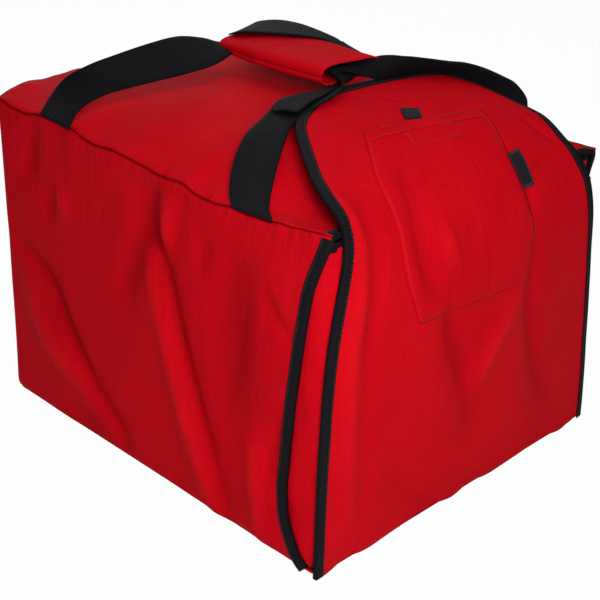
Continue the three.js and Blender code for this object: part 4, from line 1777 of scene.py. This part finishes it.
        tab = Piece.sheet("pocket_patch", (10, 10), tab_shape, (0.024, 0.024), INSIDE_FLAP)
        Piece.thick(tab, 0.0012)
        Piece.dress(tab, "hook_and_loop", self.wardrobe.grip)
        self.follow(tab)
        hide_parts("pocket_tab")

        def label_shape(u: Array, v: Array) -> Array:
            """Places the label, which stands up a little at half its length."""
            corners = np.array([(69, 5.2), (87, 5.22), (69, 6.72), (87, 6.78)])
            return self.at_corners(corners, u, v, 0.0032 + 0.0008 * np.sin(np.pi * v))

        label = Piece.sheet("woven_label", (8, 20), label_shape, (0.018, 0.046), INSIDE_FLAP)
        Piece.thick(label, 0.0007)
        Piece.dress(label, "label", self.wardrobe.label)
        self.follow(label)
        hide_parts("label")

    def at_corners(self, corners: Array, u: Array, v: Array, lift: Array) -> Array:
        """Places of a small patch on the flap.

        Args:
            corners: its four corners, in millimetres across and in stations.
            u: shares across it.
            v: shares along it.
            lift: heights over the flap.

        Returns:
            One place per pair of shares.
        """
        mid = between(corners, u, v)
        return self.face.at(mid[:, 0] / 1000, mid[:, 1], lift)

    def seams(self) -> None:
        """Sews the pocket's rim, both rows of its hem and the outline of the patch behind it."""
        share = np.linspace(0, 1, 60)
        full = np.ones(60)
        across = np.linspace(0.02, 0.98, 60)
        rim_u = np.concatenate([0.018 * full, across, 0.982 * full])
        rim_v = np.concatenate([0.99 - 0.975 * share, 0.014 * full, 0.014 + 0.975 * share])
        self.sew("pocket_rim", *self.outline(rim_u, rim_v), 0.0013)
        for level, name in ((0.932, "low"), (0.990, "high")):
            self.sew(f"pocket_hem_{name}", *self.outline(across, level * full), 0.0027)
        corners = np.array([(-52, 8.70), (-50, 8.02), (14, 7.97), (33, 8.40), (-52, 8.70)])
        ends = zip(corners[:-1], corners[1:])
        path = np.concatenate([a + (b - a) * share[:, None] for a, b in ends])
        self.sew("pocket_patch", path[:, 0] / 1000, path[:, 1], 0.0021)

    def sew(self, name: str, x: Array, s: Array, lift: float) -> None:
        """Sews one row of red thread.

        Args:
            name: what the row holds.
            x: places across the flap.
            s: stations.
            lift: height of the cloth over the flap's face.
        """
        row = Piece.stitches(f"stitches_{name}", self.face.at(x, s, lift), self.face.normal(x, s))
        Piece.dress(row, "red_nylon", self.wardrobe.red_thread)
        self.follow(row)


@dataclass
class SidePieces:
    """Gussets between the box and the flap, and the wings behind the flap.

    Attributes:
        form: the bag's overall shape.
        face: the flap's outer face.
        wardrobe: the finishes.
        foot: height at which a gusset begins.
        rise: height of a gusset.
        length: length of the strip that a gusset is cut from; not used.
        box_x: distance from the middle to a gusset's edge on the box.
        belly: how far a gusset swells outwards.
        wing: width and length of a wing.
        wing_foot: height at which a wing begins.
        wing_corner: radius of its free corners.
        root: distance from the middle to its root.
        root_y: place of the root from front to back.
    """

    form: BagForm
    face: FlapForm
    wardrobe: Wardrobe
    foot: float = 0.010
    rise: float = 0.346
    length: float = 0.352
    box_x: float = 0.2395
    belly: float = 0.003
    wing: tuple[float, float] = (0.068, 0.315)
    wing_foot: float = 0.020
    wing_corner: float = 0.028
    root: float = 0.2288
    root_y: float = -0.2411

    def build(self) -> None:
        """Makes both gussets and both wings."""
        for side in Side:
            self.gusset(side)
            self.tuck(side)

    def station(self, z: Array) -> Array:
        """Station of the flap's edge at a height."""
        fine = np.linspace(0, 6.5, 200)
        return np.interp(z, curve(self.face.edge, fine)[:, 1] / 1000, fine)

    def gusset(self, side: Side) -> None:
        """Lays one red strip from the box's edge forward to the flap, with tape over its top.

        Args:
            side: the side of the bag.
        """
        way = side.value

        def shape(u: Array, v: Array) -> Array:
            """Places the strip.

            Args:
                u: shares from the box to the flap.
                v: shares upwards.

            Returns:
                One place per pair of shares.
            """
            z = self.foot + v * self.rise
            x = np.full_like(z, way * self.box_x)
            back = np.stack([x, self.form.mouth(z) + 0.006, z], -1)
            if side is Side.RIGHT:
                back[:, 1] += self.form.pinch(z) - self.form.bow(z)
            s = self.station(z)
            table = self.face.left if side is Side.LEFT else self.face.right
            edge = curve(np.array(table, float)[:, None], s)[..., 0] / 1000
            front = self.face.plain(way * (edge - 0.005), s)
            front[:, 1] += 0.0056
            mid = back + (front - back) * u[:, None]
            round_out = np.sin(np.pi * u)
            mid[:, 0] += way * self.belly * round_out
            mid[:, 0] += way * 0.0012 * rough(mid, 0.03, 3.0, 2) * round_out
            return self.form.lean(mid)

        strip = Piece.sheet(f"gusset_strip_{side.word}", (10, 70), shape, (0.032, 0.34))
        Piece.thick(strip, 0.0014)
        Piece.dress(strip, "red_nylon", self.wardrobe.nylon)
        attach(strip, "bag")
        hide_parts(f"gusset_{side.word}")
        u = np.linspace(0, 1, 12)
        path = shape(u, np.ones_like(u))
        down = np.tile(-UP, (len(u), 1))
        out = np.tile([way, 0.0, 0.0], (len(u), 1))
        cap = Piece.ribbon(f"gusset_tape_{side.word}", path, down, out, 0.0020, 0.0085)
        Piece.dress(cap, "black_tape", self.wardrobe.tape)
        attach(cap, "bag")

    def tuck(self, side: Side) -> None:
        """Tucks one wing in behind the flap.

        Args:
            side: the side of the bag.
        """
        way = side.value
        width, length = self.wing
        root = way * self.root

        def shape(u: Array, v: Array) -> Array:
            """Places the wing with its rounded free corners.

            Args:
                u: shares from the free edge to the root.
                v: shares upwards.

            Returns:
                One place per pair of shares.
            """
            end = np.minimum(v, 1 - v) * length
            out, end = rounded((1 - u) * width, end, self.wing_corner)
            x = root - way * (width - out)
            z = self.wing_foot + np.where(v < 0.5, end, length - end)
            skin = self.face.plain(x, self.station(z))
            skin[:, 1] += self.face.stack + 0.0035
            return self.form.lean(skin)

        wing = Piece.sheet(f"side_{side.word}_wing", (16, 60), shape, self.wing)
        Piece.thick(wing, 0.0026)
        Piece.dress(wing, "red_nylon", self.wardrobe.nylon)
        # Works out the line of the wing's root, which leans with the corner of the bag, and a point 12
        # mm out from it; nothing uses them.
        top = self.wing_foot + length
        ends = np.array([[root, self.root_y, top], [root, self.root_y, self.wing_foot]])
        ends = self.form.lean(ends)
        tilt = unit(ends[0] - ends[1])
        away = np.array([-way, 0.0, 0.0])
        away -= tilt * (away @ tilt)
        start = ends.mean(0)
        end = start + unit(away) * 0.012
        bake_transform(wing)
        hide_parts(f"wing_{side.word}")


@dataclass
class Handles:
    """Two webbing loops, the padded wrap that holds them and the loop patch on the dome.

    Attributes:
        form: the bag's overall shape.
        wardrobe: the finishes.
        width: width of the webbing.
        wrap_x: middle of the wrap across the bag.
        wrap_front: its front end.
        wrap_back: its back end.
        wrap_half: half its width.
        wrap_z: height of the plane in which its halves meet.
        wrap_swell: how far each half stands off that plane.
        wrap_droop: how far its closing edge hangs.
        spine: height of the fold along its right edge.
        band: width of a band of webbing inside it.
    """

    form: BagForm
    wardrobe: Wardrobe
    width: float = 0.050
    wrap_x: float = -0.016
    wrap_front: float = -0.058
    wrap_back: float = 0.110
    wrap_half: float = 0.043
    wrap_z: float = 0.4412
    wrap_swell: float = 0.0108
    wrap_droop: float = 0.005
    spine: float = 0.0030
    band: float = 0.05

    def strap(
        self,
        name: str,
        first: list[Place],
        second: list[Place],
        rows: int = 60,
        share_cut: float = 1.0,
    ) -> bpy.types.Object:
        """A strap of webbing between two edges.

        Args:
            name: name of the piece.
            first: one edge from the seam to the wrap, in millimetres.
            second: the other edge.
            rows: faces along it.
            share_cut: share of the webbing's width that the piece has left after it is folded; not used.

        Returns:
            The new object.
        """
        def shape(u: Array, v: Array) -> Array:
            """Places the webbing between its edges."""
            a, b = along(first, v) / 1000, along(second, v) / 1000
            return a + (b - a) * u[:, None]

        share = np.linspace(0, 1, 80)
        run = float(lengths((along(first, share) + along(second, share)) / 2000)[-1])
        obj = Piece.sheet(name, (8, rows), shape, (self.width, run), INSIDE_BAG)
        Piece.thick(obj, 0.0019, 1.0)
        Piece.dress(obj, "webbing", self.wardrobe.webbing)
        return obj

    def on_dome(self, x: float, y: float, lift: float = 1.2) -> Place:
        """A point over the sagging dome.

        Args:
            x: place across the bag in millimetres.
            y: place from front to back.
            lift: height over the dome.

        Returns:
            The point in millimetres.
        """
        place = np.array([x, y]) / 1000
        z = float(self.form.dome(*place)) * 1000
        # Near the left seam the point follows the seam's rise and fall.
        if x < -100:
            z += float(self.form.sway(place[1])) * 1000 * math.exp(-((243 + x) / 55) ** 2)
        return tuple(self.form.lean(np.array([x, y, z + lift]) / 1000) * 1000)

    def legs(self) -> None:
        """Lays the four legs from the seams to the wrap."""
        d = self.on_dome
        rows = {
            "leg_left_front": (
                [d(-246, -123, 0.6), d(-234, -106, 4), d(-211, -85, 8), (-181, -69, 400),
                 (-146, -57, 408), (-124, -51, 413.5), (-87, -52, 416.5), (-45, -57, 422),
                 (-8, -58, 431), (8, -50, 438.8)],
                [d(-246, -176, 0.6), d(-227, -152, 4), d(-193, -126, 8), d(-160, -105, 12),
                 d(-141, -95, 13), d(-126, -94, 14), (-106, -93, 423), (-76, -92, 430),
                 (-52, -80, 436), (-40, -50, 438.8)],
            ),
            "leg_left_rear": (
                [d(-246, 178, 0.6), d(-224, 184, 12), d(-211, 177, 24), d(-197, 160, 34),
                 d(-172, 147, 38), d(-137, 130, 42), d(-104, 121, 42), d(-76, 112, 36),
                 (-52, 112, 438), (-41, 98, 439)],
                [d(-246, 127, 0.6), d(-231, 136, 4), d(-216, 136, 7), d(-195, 130, 9),
                 d(-176, 116, 11), d(-152, 100, 12), d(-127, 86, 13), d(-103, 74, 16),
                 (-76, 78, 428), (-44, 84, 437)],
            ),
            "leg_right_front": (
                [(221, -121, 357.5), (226, -124, 371), (212, -131, 391), (195, -127, 409),
                 (179, -120, 418), (155, -108, 429), (132, -98, 436), (111, -90, 439),
                 (80, -84, 445), (51, -78, 450), (28, -64, 450), (9, -50, 443)],
                [(218, -171, 356), (212, -158, 362), (200, -138, 367), (184, -115, 375),
                 (170, -92, 386), (153, -80, 396), (134, -74, 404), (112, -64, 411),
                 (84, -61, 415), (50, -61, 418), (5, -66, 430), (-36, -50, 442)],
            ),
            "leg_right_rear": (
                [d(242, 171, 0.8), d(215, 160, 10), (170, 120, 406), (120, 78, 424),
                 (82, 46, 435), (70, 40, 440)],
                [d(242, 121, 0.8), d(212, 112, 9), (160, 74, 403), (104, 26, 418),
                 (60, 0, 430), (48, -1, 436)],
            ),
        }
        for name, (first, second) in rows.items():
            strap = self.strap(f"strap_{name.removeprefix('leg_')}", first, second)
            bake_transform(strap)
            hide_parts(name)

    def ends(self) -> None:
        """Lays the right rear leg's end over the wrap and a strap for the left front leg's folded end.
        """
        d = self.on_dome
        outer = [(71, 41, 439.5), (61, 38, 444), (55, 60, 449), (50, 86, 452), (36, 106, 453.5),
                 (12, 114, 452.5), (4, 114, 447)]
        inner = [(49, -1, 435.5), (34, 1, 441), (18, 15, 451.6), (-4, 42, 453.8), (-24, 66, 453.8),
                 (-38, 86, 452.5), (-42, 104, 447)]
        over = self.strap("strap_right_rear_over", outer, inner)
        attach(over, "grip")
        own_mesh(over)
        upper = [d(-132, -55, 9), d(-114, -50, 12), d(-90, -58, 14), d(-68, -62, 14),
                 d(-44, -58, 13), d(-22, -52, 15)]
        lower = [d(-133, -61, 9), d(-132, -72, 14), d(-128, -88, 18), d(-103, -84, 19),
                 d(-72, -78, 18), d(-46, -68, 16)]
        fold = self.strap("strap_left_front_tuck", upper, lower, 30, 0.56)
        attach(fold, "grip")

    def half(self, name: str, sign: float) -> bpy.types.Object:
        """Makes one half of the padded sleeve.

        Args:
            name: "lower" or "upper".
            sign: -1 for the lower half, 1 for the upper.

        Returns:
            The new object.
        """
        def shape(u: Array, v: Array) -> Array:
            """Places the half.

            Args:
                u: shares from the closing edge to the spine.
                v: shares from front to back.

            Returns:
                One place per pair of shares.
            """
            across = 2 * u - 1
            front = self.wrap_front - 0.006 * across
            y = front + v * (self.wrap_back - 0.005 - front)
            swell = 1.0 - 0.25 * ease((v - 0.7) / 0.3)
            high = np.clip(1 - np.abs(across) ** 6, 0, 1) ** 0.5 * self.wrap_swell * swell
            pinch = 1 - 0.04 * np.cos(2 * np.pi * v)
            x = self.wrap_x + across * self.wrap_half * pinch
            dent = 0.0010 * rough(np.stack([x, y, high * 0], -1), 0.045, 8.0 + sign, 2)
            droop = self.wrap_droop * ((1 - across) / 2) ** 2
            z = self.wrap_z - droop + sign * (0.0006 + high) + dent * (1 - across**2)
            return np.stack([x, y, z], -1)

        half = Piece.sheet(f"wrap_{name}_half", (36, 60), shape, (0.094, 0.168), INSIDE_WRAP)
        Piece.thick(half, 0.0014, -1.0, 1)
        Piece.dress(half, "red_nylon", self.wardrobe.nylon, self.wardrobe.nylon)
        return half

    def wrap(self) -> None:
        """Makes both halves of the padded wrap and its spine."""
        lower = self.half("lower", -1.0)
        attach(lower, "grip")
        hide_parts("wrap_pad", "wrap_cover", "wrap_loop")
        upper = self.half("upper", 1.0)
        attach(upper, "wrap_flap")
        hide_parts("wrap_flap_pad", "wrap_flap_cover", "wrap_hook")

        def spine_shape(u: Array, v: Array) -> Array:
            """Closes the wrap's right edge.

            Args:
                u: shares round the fold.
                v: shares from front to back.

            Returns:
                One place per pair of shares.
            """
            turn = (u - 0.5) * np.pi
            y = self.wrap_front + v * (self.wrap_back - self.wrap_front)
            x = self.wrap_x + self.wrap_half * 0.985 + 0.0022 * np.cos(turn)
            return np.stack([x, y, self.wrap_z + self.spine * np.sin(turn)], -1)

        spine = Piece.sheet("wrap_edge_fold", (8, 40), spine_shape, (0.01, 0.168), INSIDE_WRAP)
        Piece.thick(spine, 0.0008)
        Piece.dress(spine, "red_nylon", self.wardrobe.nylon)
        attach(spine, "grip")
        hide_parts("wrap_spine")

    def bands(self) -> None:
        """Lays both bands of webbing inside the wrap, one on the other."""
        for level, name in ((-0.0014, "left"), (0.0008, "right")):
            def shape(u: Array, v: Array, level: float = level) -> Array:
                """Places one band."""
                z = np.full_like(u, self.wrap_z + level)
                return np.stack([-0.041 + self.band * u, -0.056 + 0.164 * v, z], -1)

            band = Piece.sheet(f"held_band_{name}", (6, 30), shape, (self.band, 0.164), (0, 0, 0))
            Piece.thick(band, 0.0016)
            Piece.dress(band, "webbing", self.wardrobe.webbing)
            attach(band, "grip")
            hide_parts(f"grip_webbing_{name}")

    def patch(self) -> None:
        """Lays the loop patch on the dome."""
        width, length = 0.204, 0.138

        def shape(u: Array, v: Array) -> Array:
            """Places the loop patch.

            Args:
                u: shares across.
                v: shares from front to back.

            Returns:
                One place per pair of shares.
            """
            x = -0.106 + width * u
            y = -0.176 + length * v
            return self.form.lean(np.stack([x, y, self.form.dome(x, y) + 0.0022], -1))

        loop = Piece.sheet("dome_loop_patch", (40, 28), shape, (width, length), INSIDE_BAG)
        Piece.thick(loop, 0.0014)
        Piece.dress(loop, "hook_and_loop", self.wardrobe.grip)
        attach(loop, "bag")
        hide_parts("loop_patch")


@dataclass(frozen=True)
class Lamp:
    """One soft square lamp.

    Attributes:
        name: name of the lamp.
        place: where it stands.
        size: side of its face in metres.
        power: watts.
        aim: point that it faces.
    """

    name: str
    place: Place
    size: float
    power: float
    aim: Place = (0.0, 0.0, 0.2)

    def hang(self) -> None:
        """Puts the lamp into the scene."""
        data = bpy.data.lights.new(self.name, "AREA")
        data.size = self.size
        data.energy = self.power
        lamp = bpy.data.objects.new(self.name, data)
        lamp.location = self.place
        away = Vector(self.place) - Vector(self.aim)
        lamp.rotation_euler = away.to_track_quat("Z", "Y").to_euler()
        bpy.context.scene.collection.objects.link(lamp)


LAMPS = (
    Lamp("key", (-0.64, -0.74, 0.72), 0.32, 7.4, (-0.2, -0.22, 0.26)),
    Lamp("fill", (0.9, -1.8, 1.3), 1.6, 3.5),
    Lamp("top", (0.3, 0.3, 2.2), 1.8, 11),
    Lamp("rear", (0.7, 1.8, 1.2), 1.4, 12),
)


@dataclass
class Studio:
    """Camera, floor, lights and backdrop.

    Attributes:
        azimuth: direction from which the camera looks, in degrees.
        elevation: its height angle.
        roll: its tilt.
        distance: from the camera to its target in metres.
        target: point in the middle of the picture.
        lens: focal length in millimetres.
        sensor: width of the sensor in millimetres.
        floor_glow: share of white that the camera sees on the floor.
        world_light: strength of the world on the object.
    """

    azimuth: float = -47.83
    elevation: float = 25.02
    roll: float = 3.84
    distance: float = 1.4521
    target: Place = (-0.01908, -0.00912, 0.15382)
    lens: float = 73.97
    sensor: float = 36.0
    floor_glow: float = 0.97
    world_light: float = 0.24

    def camera(self) -> None:
        """Sets the camera at the photograph's place."""
        a, e, r = (math.radians(v) for v in (self.azimuth, self.elevation, self.roll))
        back = Vector((math.sin(a) * math.cos(e), -math.cos(a) * math.cos(e), math.sin(e)))
        right = Vector((math.cos(a), math.sin(a), 0))
        up = back.cross(right)
        right, up = right * math.cos(r) + up * math.sin(r), up * math.cos(r) - right * math.sin(r)
        camera = bpy.data.objects.new("camera", bpy.data.cameras.new("camera"))
        bpy.context.scene.collection.objects.link(camera)
        turn = Matrix((right, up, back)).transposed().to_4x4()
        turn.translation = Vector(self.target) + back * self.distance
        camera.matrix_world = turn
        camera.data.lens = self.lens
        camera.data.sensor_width = self.sensor
        bpy.context.scene.camera = camera

    def floor(self) -> None:
        """Lays the pale floor."""
        bm = bmesh.new()
        bmesh.ops.create_grid(bm, x_segments=2, y_segments=2, size=6.0)
        mesh = bpy.data.meshes.new("floor")
        bm.to_mesh(mesh)
        bm.free()
        floor = Piece.finish("floor", mesh)
        floor.location.z = -0.0005
        floor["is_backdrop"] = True
        r = Recipe("floor")
        speck = r.grain(0.05, 3.0)
        r.set(
            Base_Color=r.mix(speck, (0.88, 0.88, 0.88, 1), (0.92, 0.92, 0.92, 1)),
            Roughness=0.8 + speck * 0.1,
            Specular_IOR_Level=0.1,
        )
        path = r.node("LightPath", None, None, "Is Camera Ray")
        glow = r.node("Emission", None, {"Color": (1, 1, 1, 1), "Strength": 1.0})
        bright = r.node("MixShader", None, {0: path * self.floor_glow})
        node = bright.socket.node
        r.tree.links.new(r.shader.outputs[0], node.inputs[1])
        r.tree.links.new(glow.socket, node.inputs[2])
        out = next(n for n in r.tree.nodes if n.type == "OUTPUT_MATERIAL")
        r.tree.links.new(bright.socket, out.inputs["Surface"])
        mesh.materials.append(r.material)

    def light(self) -> None:
        """Hangs the lamps in a world that is white to the camera and soft on the object."""
        for lamp in LAMPS:
            lamp.hang()
        world = bpy.data.worlds.new("studio")
        bpy.context.scene.world = world
        world.use_nodes = True
        tree = world.node_tree
        tree.nodes.clear()
        path = tree.nodes.new("ShaderNodeLightPath")
        mix = tree.nodes.new("ShaderNodeMixShader")
        out = tree.nodes.new("ShaderNodeOutputWorld")
        tree.links.new(path.outputs["Is Camera Ray"], mix.inputs[0])
        for slot, strength in ((1, self.world_light), (2, 1.0)):
            glow = tree.nodes.new("ShaderNodeBackground")
            glow.inputs["Color"].default_value = (1, 1, 1, 1)
            glow.inputs["Strength"].default_value = strength
            tree.links.new(glow.outputs[0], mix.inputs[slot])
        tree.links.new(mix.outputs[0], out.inputs[0])
        bpy.context.scene.view_settings.view_transform = "Standard"

    def build(self) -> None:
        """Sets up the whole studio."""
        self.camera()
        self.floor()
        self.light()


def main() -> None:
    """Builds the bag from its sub-assemblies."""
    logging.basicConfig(level=logging.INFO, format="%(message)s")
    Studio().build()
    form = BagForm()
    wardrobe = Wardrobe()
    body = Body(form, wardrobe)
    body.build()
    body.edge_tape()
    face = FlapForm(form)
    flap = Flap(face, wardrobe)
    flap.build()
    flap.edge_tape()
    flap.pocket()
    flap.patches()
    flap.seams()
    SidePieces(form, face, wardrobe).build()
    handles = Handles(form, wardrobe)
    handles.legs()
    handles.ends()
    handles.wrap()
    handles.bands()
    handles.patch()
    for name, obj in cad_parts.items():
        if not obj.hide_render:
            finish = wardrobe.board if name == "base_board" else wardrobe.grip
            obj.data.materials.clear()
            obj.data.materials.append(finish)
    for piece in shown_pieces():
        LOG.info("%s: %d faces", piece.name, len(piece.data.polygons))


if __name__ == "__main__":
    main()
